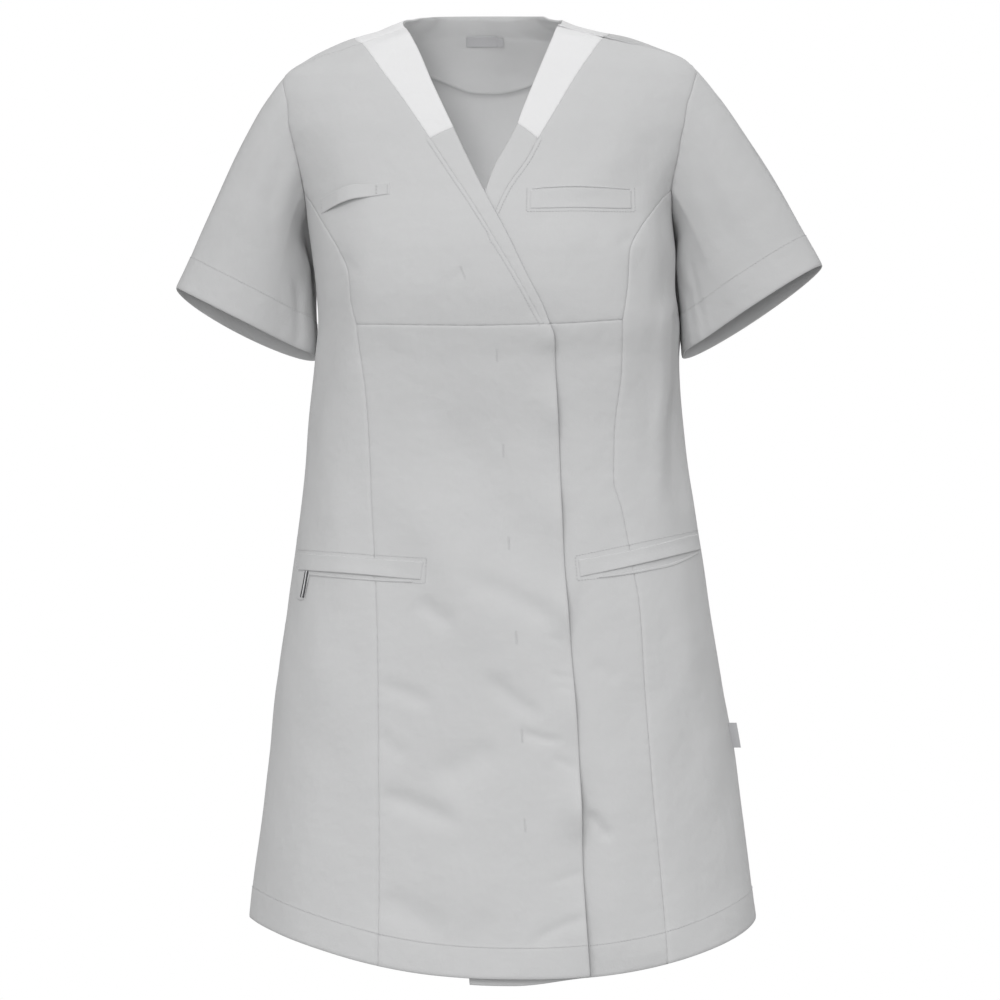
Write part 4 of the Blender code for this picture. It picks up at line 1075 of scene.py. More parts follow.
class Piece:
    """A cut piece: its cloth's height off the form at any place, and the mesh made from it."""

    def __init__(self, name, blocks, edges, lift, finish, out=0.0, wall=WALL):
        self.name = name
        self.edges = [(kind, dense(curve)) for kind, curve in edges]
        self.lift = lift
        self.out = out
        flat = np.concatenate([block.reshape(-1, 2) for block in blocks])
        keys, index = np.unique(np.round(flat, 4), axis=0, return_inverse=True)
        index = index.reshape(-1)
        turn, drop = keys.T
        height, fields = self.height(turn, drop, True)
        outer = worn(turn, drop, height)
        thick = wall + SEAM_LIP * np.exp(-((fields[0] / SEAM_DIP_WIDTH) ** 2))
        inner = worn(turn, drop, height - thick)
        cells = []
        start = 0
        self.area = 0.0
        for block in blocks:
            rows, columns = block.shape[:2]
            grid = index[start : start + rows * columns].reshape(rows, columns)
            start += rows * columns
            part, area = turned_out(quads_of(grid), outer, form_normal(turn, drop))
            self.area += area
            cells.append(part)
        cells = np.concatenate(cells)
        self.mesh = shell(name, outer, inner, cells, finish, grain_of(turn, drop), fields)
        wide = blocks[0]
        self.flat = tuple(
            np.linalg.norm(np.diff(form(wide[..., 0], wide[..., 1]), axis=k), axis=2).sum(axis=k).max()
            for k in (1, 0)
        )
        pieces[name] = self

    def height(self, turn, drop, with_fields=False):
        """Millimetres off the form: creases, swell, the wrap's lift and the relief of the edges."""
        relief, fields = edge_relief(turn, drop, self.edges)
        out = self.out(turn, drop) if callable(self.out) else self.out
        total = crease_height(turn, drop) + swell(turn, drop) + self.lift(turn, drop) + relief + out
        return (total, fields) if with_fields else total

    def declare(self, node, held, rests_on=()):
        """Hangs the piece from the root, hides the solid that it stands for, and prints its cut of cloth.
        """
        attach(self.mesh, "root")
        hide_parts(node)
        width, length = (side * MM for side in self.flat)
        area = min(self.area * MM * MM, width * length)
        area = max(area, 0.31 * width * length)
        print(f"{self.name}: {width:.3f} x {length:.3f} m cut, {triangles_of(self.mesh)} triangles")


def cells_for(curve, cell=CELL):
    """How many cells of that size fit along a curve."""
    return max(int(round(length_of(curve) / cell)), 1)


def front_seams(sign, tip_drop, tables, princess, free_edge, extra=0.0):
    """Every seam of one front as a (turn, drop) curve, by name; sign is -1 on the wearer's right."""
    curves = {name: on_face(rows) for name, rows in tables.items() if not name.startswith("armhole")}
    side = SimpleNamespace(**curves)
    for name in ("armhole", "armhole_under", "armhole_back"):
        setattr(side, name, np.asarray(tables[name], float) * (sign, 1))
    side.bust = join(side.armhole[-1:], curves["bust"])
    side.shoulder = np.vstack([[(sign * 90.0, tip_drop)], curves["shoulder"]])
    side.princess = with_hem(princess)
    side.free_edge = with_hem(free_edge, extra)
    side.side = SIDE_SEAM * (sign, 1)
    side.panel_end = np.array([side.panel_outer[-1], side.panel_inner[-1]])
    side.band_end = np.array([side.band_seam[-1], side.neck_edge[-1]])
    return side


right_front = front_seams(
    -1,
    RIGHT_TIP_DROP,
    {
        "shoulder": RIGHT_SHOULDER,
        "neck_shoulder": RIGHT_NECK_SHOULDER,
        "panel_outer": RIGHT_PANEL_OUTER,
        "panel_inner": RIGHT_PANEL_INNER,
        "band_seam": RIGHT_BAND_SEAM,
        "neck_edge": RIGHT_NECK_EDGE,
        "under_bust": RIGHT_UNDER_BUST,
        "bust": RIGHT_PRINCESS_BUST,
        "armhole": RIGHT_ARMHOLE_FRONT,
        "armhole_under": RIGHT_ARMHOLE_UNDER,
        "armhole_back": RIGHT_ARMHOLE_BACK,
    },
    RIGHT_PRINCESS,
    WRAP_EDGE,
)
left_front = front_seams(
    1,
    LEFT_TIP_DROP,
    {
        "shoulder": LEFT_SHOULDER,
        "neck_shoulder": LEFT_NECK_SHOULDER,
        "panel_outer": LEFT_PANEL_OUTER,
        "panel_inner": LEFT_PANEL_INNER,
        "band_seam": LEFT_BAND_SEAM,
        "neck_edge": LEFT_NECK_EDGE,
        "under_bust": LEFT_UNDER_BUST,
        "bust": LEFT_PRINCESS_BUST,
        "armhole": LEFT_ARMHOLE_FRONT,
        "armhole_under": LEFT_ARMHOLE_UNDER,
        "armhole_back": LEFT_ARMHOLE_BACK,
    },
    LEFT_PRINCESS,
    UNDERLAP_EDGE,
    UNDERLAP_EXTRA,
)
SIDES = (
    ("right", right_front, lift_of_upper_front),
    ("left", left_front, no_lift),
)


def seams(*curves):
    """The curves as edges that are sewn to a neighbour."""
    return [("seam", curve) for curve in curves]


def four_sided(name, face, top, bottom, left, right, edges, lift, finish, cell=CELL, hem=None):
    """A piece between four sides, each a list of curves; hem makes the bottom side from its ends."""
    columns = max(sum(cells_for(curve, cell) for curve in top), 2)
    if not hem:
        columns = max(columns, sum(cells_for(curve, cell) for curve in bottom))
    rows = max(sum(cells_for(c, cell) for c in left), sum(cells_for(c, cell) for c in right), 2)
    left_side = edge(rows, *left)
    right_side = edge(rows, *right)
    if hem:
        low = hem_between(left_side[-1], right_side[-1], columns, hem if callable(hem) else None)
    else:
        low = edge(columns, *bottom)
    sides = (edge(columns, *top), low, left_side, right_side)
    grid = face_patch(face, *sides) if face else patch(*sides)
    if hem:
        edges = edges + [(HEM_DEPTH, low)]
    return Piece(name, [grid], edges, lift, finish)


for side, front, lift in SIDES:
    four_sided(
        f"bodice_{side}_cloth",
        "front",
        [front.shoulder],
        [front.under_bust],
        [front.armhole, front.bust],
        [front.panel_outer, front.band_seam],
        seams(front.shoulder, front.under_bust, front.armhole, front.bust, front.panel_outer)
        + [("stitched", front.band_seam)],
        lift,
        grey_twill,
    )
for side, front, lift, hem in (
    ("right", right_front, lift_of_upper_front, True),
    ("left", left_front, lift_of_under_front, underlap_extra),
):
    four_sided(
        f"skirt_{side}_cloth",
        "front",
        [front.under_bust, front.band_end],
        None,
        [front.princess],
        [front.free_edge],
        seams(join(front.under_bust, front.band_end), front.princess) + [("fold", front.free_edge)],
        lift,
        grey_twill,
        hem=hem,
    )
for side, front, lift in SIDES:
    four_sided(
        f"side_{side}_cloth",
        None,
        [front.armhole_under[::-1]],
        None,
        [front.side],
        [front.bust, front.princess],
        seams(front.armhole_under, front.side, front.bust, front.princess),
        lift,
        grey_twill,
        hem=True,
    )
for side, front, lift in SIDES:
    four_sided(
        f"neck_panel_{side}_cloth",
        "front",
        [front.neck_shoulder],
        [front.panel_end],
        [front.panel_outer],
        [front.panel_inner],
        seams(front.neck_shoulder, front.panel_end, front.panel_outer) + [("fold", front.panel_inner)],
        lift,
        white_twill,
        cell=NECK_CELL,
    )
    four_sided(
        f"neck_band_{side}_cloth",
        "front",
        [front.panel_end],
        [front.band_end],
        [front.band_seam],
        [front.neck_edge],
        seams(front.panel_end, front.band_end, front.band_seam) + [("fold", front.neck_edge)],
        lift,
        grey_twill,
        cell=NECK_CELL,
    )
print("fronts:", ", ".join(pieces))

# %% [markdown]
# ## The back
# The back is one piece and no picture shows it. It runs up over the ridge of each shoulder to the
# shoulder seam, which lies to the front, so its patch has a small strip on each side at the top.
# The white band behind the neck and the facing inside it are made in the same way, and the facing
# lies against the band along the neck edge.

# %% The back
SHOULDER_CELLS = 34
NECK_CELLS = 48
RIDGE_ROWS = 6
BAND_ROWS = 12
FACING_ROWS = 24
FACING_OUT = 2.6  # how far the facing hangs inside the back
FACING_TOUCH = 14.0  # it reaches that this far below the neck edge

ridge_right = np.array([(-90.0, RIGHT_TIP_DROP), RIGHT_BAND_AT_RIDGE])
ridge_left = np.array([LEFT_BAND_AT_RIDGE, (-270.0, LEFT_TIP_DROP)])
band_edge = behind_neck(RIGHT_BAND_AT_RIDGE, BACK_BAND_EDGE, LEFT_BAND_AT_RIDGE)
armhole_rows = cells_for(right_front.armhole_back, BACK_CELL)
side_rows = cells_for(SIDE_SEAM, BACK_CELL)
right_edge = join(stations(right_front.armhole_back, armhole_rows), stations(right_front.side, side_rows))
left_edge = join(
    wrapped(stations(left_front.armhole_back, armhole_rows)), wrapped(stations(SIDE_SEAM, side_rows))
)
back_top = join(
    stations(ridge_right, SHOULDER_CELLS),
    stations(band_edge, NECK_CELLS),
    stations(ridge_left, SHOULDER_CELLS),
)
back_hem = hem_between(right_edge[-1], left_edge[-1], len(back_top) - 1)
back_grid = face_patch("back", back_top, back_hem, right_edge, left_edge)
over_right = over_ridge(
    stations(right_front.shoulder, SHOULDER_CELLS), stations(ridge_right, SHOULDER_CELLS), RIDGE_ROWS
)
over_left = over_ridge(
    wrapped(stations(left_front.shoulder, SHOULDER_CELLS)),
    stations(ridge_left, SHOULDER_CELLS)[::-1],
    RIDGE_ROWS,
)
Piece(
    "back_cloth",
    [back_grid, over_right, over_left],
    seams(
        right_front.shoulder,
        left_front.shoulder,
        right_front.armhole_back,
        left_front.armhole_back,
        right_front.side,
        left_front.side,
        band_edge,
    )
    + [(HEM_DEPTH, back_hem)],
    no_lift,
    grey_twill,
)

back_neck_edge = np.array(BACK_NECK_EDGE, float)
facing_edge = behind_neck(RIGHT_FACING_AT_RIDGE, FACING_EDGE, LEFT_FACING_AT_RIDGE)


def facing_out(turn, drop):
    """The facing touches the band at the neck edge and hangs a little inside it further down."""
    distance, _ = near(form(turn, drop).reshape(-1, 3), dense(back_neck_edge))
    away = smooth_step(distance / FACING_TOUCH).reshape(np.shape(turn))
    return -WALL - FACING_OUT * away


for name, lower_edge, rows, finish, out, edges in (
    (
        "neck_band_back_cloth",
        band_edge,
        BAND_ROWS,
        white_twill,
        0.0,
        [("fold", back_neck_edge)]
        + seams(band_edge, right_front.neck_shoulder, left_front.neck_shoulder),
    ),
    (
        "back_neck_facing_cloth",
        facing_edge,
        FACING_ROWS,
        grey_twill,
        facing_out,
        [("fold", back_neck_edge), ("fold", facing_edge)],
    ),
):
    ridge_a = stations([back_neck_edge[0], lower_edge[0]], rows)
    ridge_b = stations([back_neck_edge[-1], lower_edge[-1]], rows)
    neck = stations(back_neck_edge, NECK_CELLS)
    lower = stations(lower_edge, NECK_CELLS)
    blocks = [
        face_patch("back", neck, lower, ridge_a, ridge_b),
        over_ridge(stations(right_front.neck_shoulder[::-1], rows), ridge_a, RIDGE_ROWS),
        over_ridge(stations(wrapped(left_front.neck_shoulder)[::-1], rows), ridge_b, RIDGE_ROWS),
    ]
    Piece(name, blocks, edges, no_lift, finish, out)
print("back pieces made; triangles in the back:", triangles_of(pieces["back_cloth"].mesh))

# %% [markdown]
# ## Sleeves
# A short sleeve is a tube that leaves the armhole seam and hangs down and outwards to a cuff. It
# could be a skinned curve. Here each of its lines runs from its own point of the armhole to its own
# point of the cuff on one cubic, whose pulls at the two ends give the rounded top and the straight
# underside.

# %% Sleeves
SLEEVES = (
    # side, outer_across, outer_drop, outer_back, inner_across, inner_drop, inner_back,
    # half_depth, front_rise, back_fall
    ("right", -320, 265.5, 6, -180, 336, 32, 44, 0.0, 13.0),
    ("left", 325, 243, 6, 187, 335, 32, 44, 5.0, 9.0),
)
SLEEVE_LINES = (
    # side, line, out_at_start, down_at_start, start_pull, out_at_end, down_at_end, end_pull
    ("right", "top", 0.64, 0.77, 0.85, 0.42, 0.91, 0.9),
    ("right", "front", 0.60, 0.80, 0.9, 0.45, 0.89, 0.9),
    ("right", "under", 0.30, 0.95, 0.6, -0.02, 1.0, 0.9),
    ("right", "back", 0.60, 0.80, 0.9, 0.45, 0.89, 0.9),
    ("left", "top", 0.68, 0.73, 0.9, 0.47, 0.88, 0.9),
    ("left", "front", 0.60, 0.80, 0.9, 0.50, 0.87, 0.9),
    ("left", "under", 0.30, 0.95, 0.6, 0.05, 1.0, 0.9),
    ("left", "back", 0.60, 0.80, 0.9, 0.50, 0.87, 0.9),
)
SLEEVE_CREASES = (
    # side, around_a, down_a, around_b, down_b, half_width, height; around 0 is the top, 90 the front
    ("left", 138, 0.25, 142, 1.0, 22, 9.0),
    ("right", 138, 0.25, 142, 1.0, 22, 9.0),
    ("left", 122, 0.45, 128, 1.0, 4, -1.6),
    ("left", 131, 0.60, 136, 1.0, 3, -1.4),
    ("right", 124, 0.55, 132, 1.0, 5, -1.8),
    ("left", 60, 0.05, 80, 0.55, 12, -1.2),
    ("right", 60, 0.05, 84, 0.50, 12, -1.2),
    ("left", 250, 0.10, 262, 0.90, 16, -2.5),
    ("right", 250, 0.10, 262, 0.90, 16, -2.5),
)
SLEEVE_FRONT_CELLS = 76
SLEEVE_ROWS = 78
CUFF_HEM = 34.0


def sleeve_lines(side, front_armhole, back_armhole, rows):
    """Cubic lines from the armhole to the cuff: a grid of rows down and columns round."""
    row = next(item for item in SLEEVES if item[0] == side)
    outer_across, outer_drop, outer_back, inner_across, inner_drop, inner_back = row[1:7]
    half_depth, front_rise, back_fall = row[7:]
    sign = -1 if side == "right" else 1
    loop = join(front_armhole, back_armhole[::-1])[:-1]
    lift = lift_of_upper_front if side == "right" else no_lift
    seam_height = crease_height(*loop.T) + swell(*loop.T) + lift(*loop.T) - SEAM_DIP
    start = worn(loop[:, 0], loop[:, 1], seam_height)
    count = len(loop)
    half = len(front_armhole) - 1
    around = np.concatenate(
        [np.linspace(0, math.pi, half + 1), np.linspace(math.pi, 2 * math.pi, count - half + 1)[1:-1]]
    )
    outer_end = np.array([outer_across, outer_back, -outer_drop])
    inner_end = np.array([inner_across, inner_back, -inner_drop])
    reach = (outer_end - inner_end) / 2
    out_of_cuff = np.array([-reach[2], 0, reach[0]]) * -sign
    out_of_cuff = out_of_cuff / np.linalg.norm(out_of_cuff)
    forward = np.sin(around)
    shift = np.where(forward > 0, -front_rise * forward, -back_fall * forward)
    end = (outer_end + inner_end) / 2 + np.cos(around)[:, None] * reach
    end = end + np.array([0, -half_depth, 0]) * forward[:, None] + out_of_cuff * shift[:, None]
    lines = {item[1]: item[2:] for item in SLEEVE_LINES if item[0] == side}
    weights = {
        "top": np.clip(np.cos(around), 0, 1) ** 2,
        "under": np.clip(-np.cos(around), 0, 1) ** 2,
        "front": np.clip(np.sin(around), 0, 1) ** 2,
        "back": np.clip(-np.sin(around), 0, 1) ** 2,
    }
    values = sum(weights[name][:, None] * np.array(lines[name]) for name in lines)
    chord = np.linalg.norm(end - start, axis=1)
    leave = np.stack([sign * values[:, 0], 0 * chord, -values[:, 1]], axis=1)
    leave = leave * (values[:, 2] * chord)[:, None]
    arrive = np.stack([sign * values[:, 3], 0 * chord, -values[:, 4]], axis=1)
    arrive = arrive * (values[:, 5] * chord)[:, None]
    t = np.linspace(0, 1, rows + 1)[:, None, None]
    grid = (1 + 2 * t) * (1 - t) ** 2 * start + t * (1 - t) ** 2 * leave
    return grid + t**2 * (3 - 2 * t) * end + t**2 * (t - 1) * arrive, np.degrees(around)


def tube_normals(grid):
    """Straight out of a tube: the step round crossed with the step down, pointed off its middle."""
    round_it = np.roll(grid, -1, axis=1) - np.roll(grid, 1, axis=1)
    out = unit(np.cross(round_it, np.gradient(grid, axis=0)))
    from_middle = grid - grid.mean(axis=1, keepdims=True)
    return out * np.sign(np.sum(from_middle * out))


def sleeve_relief(side, grid, around):
    """Creases down the tube, the seam's groove at the top, and the doubled hem at the cuff."""
    down = np.cumsum(np.linalg.norm(np.diff(grid, axis=0, prepend=grid[:1]), axis=2), axis=0)
    total = down[-1:]
    share = down / total
    to_cuff = total - down
    girth = np.linalg.norm(np.roll(grid, -1, axis=1) - grid, axis=2)
    arc = np.cumsum(girth, axis=1) - girth
    per_degree = girth.sum(axis=1, keepdims=True) / 360
    height = np.zeros(grid.shape[:2])
    for which, around_a, down_a, around_b, down_b, half_width, rise in SLEEVE_CREASES:
        if which != side:
            continue
        along = (share - down_a) / (down_b - down_a)
        line = around_a + (around_b - around_a) * np.clip(along, 0, 1)
        off = ((around[None] - line + 180) % 360 - 180) * per_degree
        fade = smooth_step((along + 0.25) / 0.4) * smooth_step((1.3 - along) / 0.4)
        height += rise * np.exp(-((off / half_width) ** 2)) * fade
    wobble = sum(
        np.sin(2 * math.pi * (arc * math.cos(angle) + down * math.sin(angle)) / length + phase) * length
        for length, angle, phase in zip(swell_length, swell_angle, swell_phase)
    )
    height += SWELL_SLOPE * wobble / math.sqrt(SWELL_COUNT) * smooth_step(share / 0.2)
    height += SEAM_DIP * (1 - np.exp(-((down / SEAM_DIP_WIDTH) ** 2)))
    ripple = PUCKER * ripple_of(arc)
    height += ripple * np.exp(-((down / PUCKER_WIDTH) ** 2))
    height += ripple * np.exp(-(((to_cuff - CUFF_HEM) / PUCKER_WIDTH) ** 2))
    height += HEM_STEP * smooth_step((CUFF_HEM - to_cuff) / 2 + 0.5)
    height -= EDGE_ROLL * np.exp(-((to_cuff / EDGE_ROLL_WIDTH) ** 2))
    return height, np.stack([down, to_cuff - CUFF_HEM]), arc, down


class Sleeve:
    """One sleeve as a closed shell round a tube, with the place of its cuff stitching kept."""

    def __init__(self, side, front_armhole, back_armhole):
        self.name = f"sleeve_{side}_cloth"
        grid, around = sleeve_lines(side, front_armhole, back_armhole, SLEEVE_ROWS)
        normals = tube_normals(grid)
        height, fields, arc, down = sleeve_relief(side, grid, around)
        outer = grid + normals * height[..., None]
        inner = outer - normals * WALL
        rows, count = grid.shape[:2]
        index = np.arange(rows * count).reshape(rows, count)
        points = outer.reshape(-1, 3)
        cells, self.area = turned_out(quads_of(closed(index)), points, normals.reshape(-1, 3))
        uv = np.stack([arc, -down], axis=2).reshape(-1, 2) * MM
        self.mesh = shell(
            self.name, points, inner.reshape(-1, 3), cells, grey_twill, uv, fields.reshape(2, -1)
        )
        self.outer = outer
        self.normals = normals
        self.to_cuff = down[-1:] - down
        girth = np.linalg.norm(np.diff(outer, axis=1, append=outer[:, :1]), axis=2).sum(axis=1).max()
        self.flat = (girth, down[-1].max())
        pieces[self.name] = self

    declare = Piece.declare


for side, front, _ in SIDES:
    Sleeve(
        side,
        edge(SLEEVE_FRONT_CELLS, front.armhole, front.armhole_under),
        stations(front.armhole_back, SLEEVE_FRONT_CELLS),
    )
print("sleeves:", [triangles_of(pieces[f"sleeve_{side}_cloth"].mesh) for side in ("right", "left")])

# %% [markdown]
# ## Welts, tab and loop
# A pocket that is cut into a garment shows only its welt: a folded strip of cloth, sewn down on
# three sides, whose free side is the mouth. Beyond the mouth lies the lip of the pocket bag, a thin
# rolled edge. The pen tab is a strip sewn down at both ends that arches between them. Each is a
# ribbon between two lines on the cloth: its cross-section rises quickly at each edge and is level
# between, and a share of it may stand off where the real one gapes.

# %% Welts, tab and loop
RIBBON_EDGE = 0.9  # width over which a ribbon's edge rounds down, in millimetres
RIBBON_CELL = 1.3
RIBBON_ROWS = np.array([0.35, 1.0])  # rows kept close to an edge, in shares of its rounding
RIBBON_EASE = 0.12  # how far a ribbon lies off the cloth
RIBBON_SUNK = 0.25  # how far its back reaches into the cloth
WELT_WALL = 0.9
LIP_WALL = 0.7


def along_face(rows, count, face="front"):
    """count + 1 evenly spaced (turn, drop) points along a smooth line given as (across, drop)."""
    return stations(on_face(rows, face), count)


def plain_height(lift, more=0.0):
    """The cloth's height without the relief of its edges."""
    return lambda turn, drop: crease_height(turn, drop) + swell(turn, drop) + lift(turn, drop) + more


def ribbon(name, upper, lower, base, thick, gape=None):
    """A ruled strip between two lines; height is base plus gape(u, v) plus its rounded section."""
    columns = max(int(length_of(on_face(upper)) / RIBBON_CELL), 6)
    top = along_face(upper, columns)
    low = along_face(lower, columns)
    width = np.linalg.norm(form(*top[columns // 2]) - form(*low[columns // 2]))
    rows = max(int(width / RIBBON_CELL), 4)
    v = np.linspace(0, 1, rows + 1)
    # The first and last rows lie close to the edges, so that they stay crisp.
    v = np.unique(np.concatenate([v, RIBBON_EDGE / width * RIBBON_ROWS]))
    v = np.unique(np.concatenate([v, 1 - RIBBON_EDGE / width * RIBBON_ROWS]))
    grid = (1 - v)[:, None, None] * top + v[:, None, None] * low
    turn, drop = grid[..., 0], grid[..., 1]
    u = np.linspace(0, 1, columns + 1)[None] + 0 * v[:, None]
    v = v[:, None] + 0 * u
    long_way = length_of(top)
    to_edge = np.minimum(np.minimum(v, 1 - v) * width, np.minimum(u, 1 - u) * long_way)
    section = thick * np.sqrt(np.clip(1 - (1 - np.clip(to_edge / RIBBON_EDGE, 0, 1)) ** 2, 0, 1))
    floor_height = base(turn, drop) + RIBBON_EASE + (0 if gape is None else gape(u, v))
    outer = worn(turn, drop, floor_height + section)
    inner = worn(turn, drop, floor_height - RIBBON_SUNK)
    points = outer.reshape(-1, 3)
    cells = quads_of(np.arange(turn.size).reshape(turn.shape))
    cells, _ = turned_out(cells, points, form_normal(turn, drop).reshape(-1, 3))
    uv = np.stack([u * long_way, -v * width], axis=2).reshape(-1, 2) * MM
    mesh = shell(name, points, inner.reshape(-1, 3), cells, grey_twill, uv)
    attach(mesh, "root")
    return mesh, (long_way * MM, width * MM)


def mouth_gape(height, edge_v, start=0.0, end=1.0, reach=0.75):
    """Stands one long side off by a bell along it: a sine from start to end, fading across."""

    def gape(u, v):
        share = np.clip((u - start) / (end - start), 0, 1)
        across = 1 - np.abs(v - edge_v) / reach
        return height * np.sin(math.pi * share) ** 0.7 * smooth_step(across)

    return gape


right_base = plain_height(lift_of_upper_front)
left_base = plain_height(lift_of_under_front)
HIP_WELT_RIGHT = (((-198, 531), (-73, 540)), ((-200, 548), (-137, 552.5), (-76, 558)))
HIP_WELT_LEFT = (((81, 538), (139, 527), (199, 512)), ((83, 555), (141, 542.5), (202, 528)))
CHEST_WELT = (
    ((33, 168.6), (48, 167.5), (76, 167), (108, 167.6), (135, 168.4)),
    ((33, 186.5), (135, 186.5)),
)
PEN_TAB = (
    ((-177, 176), (-161, 170), (-142, 163.5), (-121, 161.8), (-107, 161.5)),
    ((-176, 192), (-161, 185), (-142, 178), (-121, 174.3), (-107, 172.5)),
)
TAB_HEIGHT = 4.2


def tab_arch(u, _):
    """The pen tab rises from its left end, is highest at the middle and is down again at 0.82."""
    return TAB_HEIGHT * smooth_step(u / 0.4) * smooth_step((0.82 - u) / 0.35)


# The lips of the pockets are thin rolled edges beyond each mouth: upper line, then lower line.
HIP_LIP_RIGHT = (
    ((-189, 550.6), (-140, 555.0), (-100, 557.6), (-84, 558.6)),
    ((-189, 553.2), (-140, 557.6), (-100, 559.9), (-84, 560.2)),
)
HIP_LIP_LEFT = (
    ((100, 554.2), (120, 551.5), (143, 547.5), (173, 541.5), (190, 535.0), (200.5, 529.5)),
    ((100, 556.0), (120, 553.9), (143, 550.4), (173, 544.5), (190, 538.0), (201.0, 532.0)),
)
CHEST_LIP = (
    ((35, 166.3), (48, 164.6), (76, 163.8), (108, 164.8), (133, 166.4)),
    ((35, 167.4), (48, 166.2), (76, 165.5), (108, 166.3), (133, 167.3)),
)
RIBBONS = (
    # name, lines, base, thickness, how it stands off
    ("hip_welt_right_cloth", HIP_WELT_RIGHT, right_base, WELT_WALL, mouth_gape(1.1, 1.0, 0.1, 0.9)),
    ("hip_welt_left_cloth", HIP_WELT_LEFT, left_base, WELT_WALL, mouth_gape(1.3, 1.0, 0.1, 1.0)),
    ("chest_welt_left_cloth", CHEST_WELT, left_base, WELT_WALL, mouth_gape(2.0, 0.0, 0.05, 0.75)),
    ("chest_tab_right_cloth", PEN_TAB, right_base, WELT_WALL, tab_arch),
    ("hip_lip_right", HIP_LIP_RIGHT, right_base, LIP_WALL, None),
    ("hip_lip_left", HIP_LIP_LEFT, left_base, LIP_WALL, None),
    ("chest_lip_left", CHEST_LIP, left_base, LIP_WALL, None),
)
ribbons = {name: ribbon(name, *lines, base, thick, gape) for name, lines, base, thick, gape in RIBBONS}
print("ribbons:", {name: [round(v * 1000) for v in size] for name, (_, size) in ribbons.items()})

# %% [markdown]
# ## Key loop and labels
# Under the right pocket hangs a loop of tape with a striped edge: two dark cords with a light one
# between them. It could be one ribbon with a striped material; the cords are round, so they are
# made as thin tubes, a ring carried along a path. The neck label, the size tag and the ribbon in
# the side seam are plain woven tape.

# %% Key loop and labels
CORD_SIDES = 8
CORD_END = 0.06  # share of a cord's half length in which it rounds off
CORD_POINTS = 24


def tube(name, path, radius, finish):
    """A ring of points carried along a path of points in millimetres, with rounded ends."""
    path = np.asarray(path, float)
    tangent = unit(np.gradient(path, axis=0))
    side = unit(np.cross(tangent, [0.0, -1.0, 0.0]))
    up = np.cross(side, tangent)
    turn = np.linspace(0, 2 * math.pi, CORD_SIDES, endpoint=False)
    share = np.linspace(0, 1, len(path))
    into_end = np.clip(np.abs(share - 0.5) * 2 - (1 - CORD_END), 0, 1)
    fat = radius * np.sqrt(np.clip(1 - into_end**2 / CORD_END**2, 0.02, 1))
    rings = path[:, None] + fat[:, None, None] * (
        np.cos(turn)[None, :, None] * side[:, None] + np.sin(turn)[None, :, None] * up[:, None]
    )
    points = np.concatenate([rings.reshape(-1, 3), path[:1], path[-1:]])
    index = closed(np.arange(len(path) * CORD_SIDES).reshape(len(path), CORD_SIDES))
    faces = [quads_of(index)[:, ::-1]]
    for tip, start, end in (
        (len(points) - 2, index[0, 1:], index[0, :-1]),
        (len(points) - 1, index[-1, :-1], index[-1, 1:]),
    ):
        faces.append(np.stack([start, end, np.full_like(start, tip), np.full_like(start, tip)], axis=1))
    faces = np.concatenate(faces)
    mesh = mesh_piece(name, points * MM, faces, finish, points[:, [0, 2]] * MM)
    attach(mesh, "root")
    return mesh


def line_on(rows, base, out):
    """Points in millimetres along a line on the cloth, a little way out from it."""
    turn, drop = along_face(rows, CORD_POINTS).T
    return worn(turn, drop, base(turn, drop) + out)


LOOP_TAPE = (((-200, 549.5), (-186, 549.5)), ((-201, 576.0), (-196, 578.5), (-191.5, 578.0)))
LOOP_OUT = 1.9  # how far the cords stand off the cloth
LOOP_BOW = 0.9
ribbons["key_loop_right_tape"] = ribbon(
    "key_loop_right_tape", *LOOP_TAPE, right_base, WELT_WALL, lambda u, v: LOOP_BOW * np.sin(math.pi * v)
)
LOOP_CORDS = (
    # name, line, radius, finish
    ("key_loop_cord_dark_a", ((-189.3, 549), (-191.5, 562), (-194.2, 575.8)), 0.85, dark_tape),
    ("key_loop_cord_light", ((-188.3, 549), (-190.3, 562), (-192.9, 576.2)), 0.7, white_twill),
    ("key_loop_cord_dark_b", ((-187.1, 549), (-189.0, 562), (-191.6, 576.6)), 0.9, dark_tape),
)
cords = [
    tube(name, line_on(rows, right_base, LOOP_OUT), radius, finish)
    for name, rows, radius, finish in LOOP_CORDS
]

FACING_INSIDE = -(WALL + FACING_OUT + WALL)
LABEL_WALL = 0.5
LABEL_OUT = 0.3  # how far the label lies off the facing
label_base = plain_height(no_lift, FACING_INSIDE)


def inside_ribbon(name, upper, lower, out, finish):
    """A ribbon on the inside of the back: its outer face looks forward, into the neck."""
    columns, rows = 24, 10
    top = along_face(upper, columns, "back")
    low = along_face(lower, columns, "back")
    v = np.linspace(0, 1, rows + 1)[:, None, None]
    grid = (1 - v) * top + v * low
    turn, drop = grid[..., 0], grid[..., 1]
    base = label_base(turn, drop)
    points = worn(turn, drop, base - out - LABEL_WALL).reshape(-1, 3)
    behind = worn(turn, drop, base - out).reshape(-1, 3)
    cells = quads_of(np.arange(turn.size).reshape(turn.shape))
    cells, _ = turned_out(cells, points, np.tile([0.0, -1.0, 0.0], (len(points), 1)))
    size = (length_of(top), np.linalg.norm(form(*top[0]) - form(*low[0])))
    u = np.linspace(0, 1, columns + 1)[None, :, None] + 0 * v
    uv = np.concatenate([u * size[0], -(v + 0 * u) * size[1]], axis=2).reshape(-1, 2) * MM
    mesh = shell(name, points, behind, cells, finish, uv)
    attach(mesh, "root")
    return mesh, (size[0] * MM, size[1] * MM)


NECK_LABEL = (((-31, 10), (-15, 9.6), (0, 9.2)), ((-31, 20.6), (-15, 21), (0, 20.6)))
ribbons["neck_label_tape"] = inside_ribbon("neck_label_tape", *NECK_LABEL, LABEL_OUT, grey_ribbon)
print("loop, label and", len(cords), "cords")

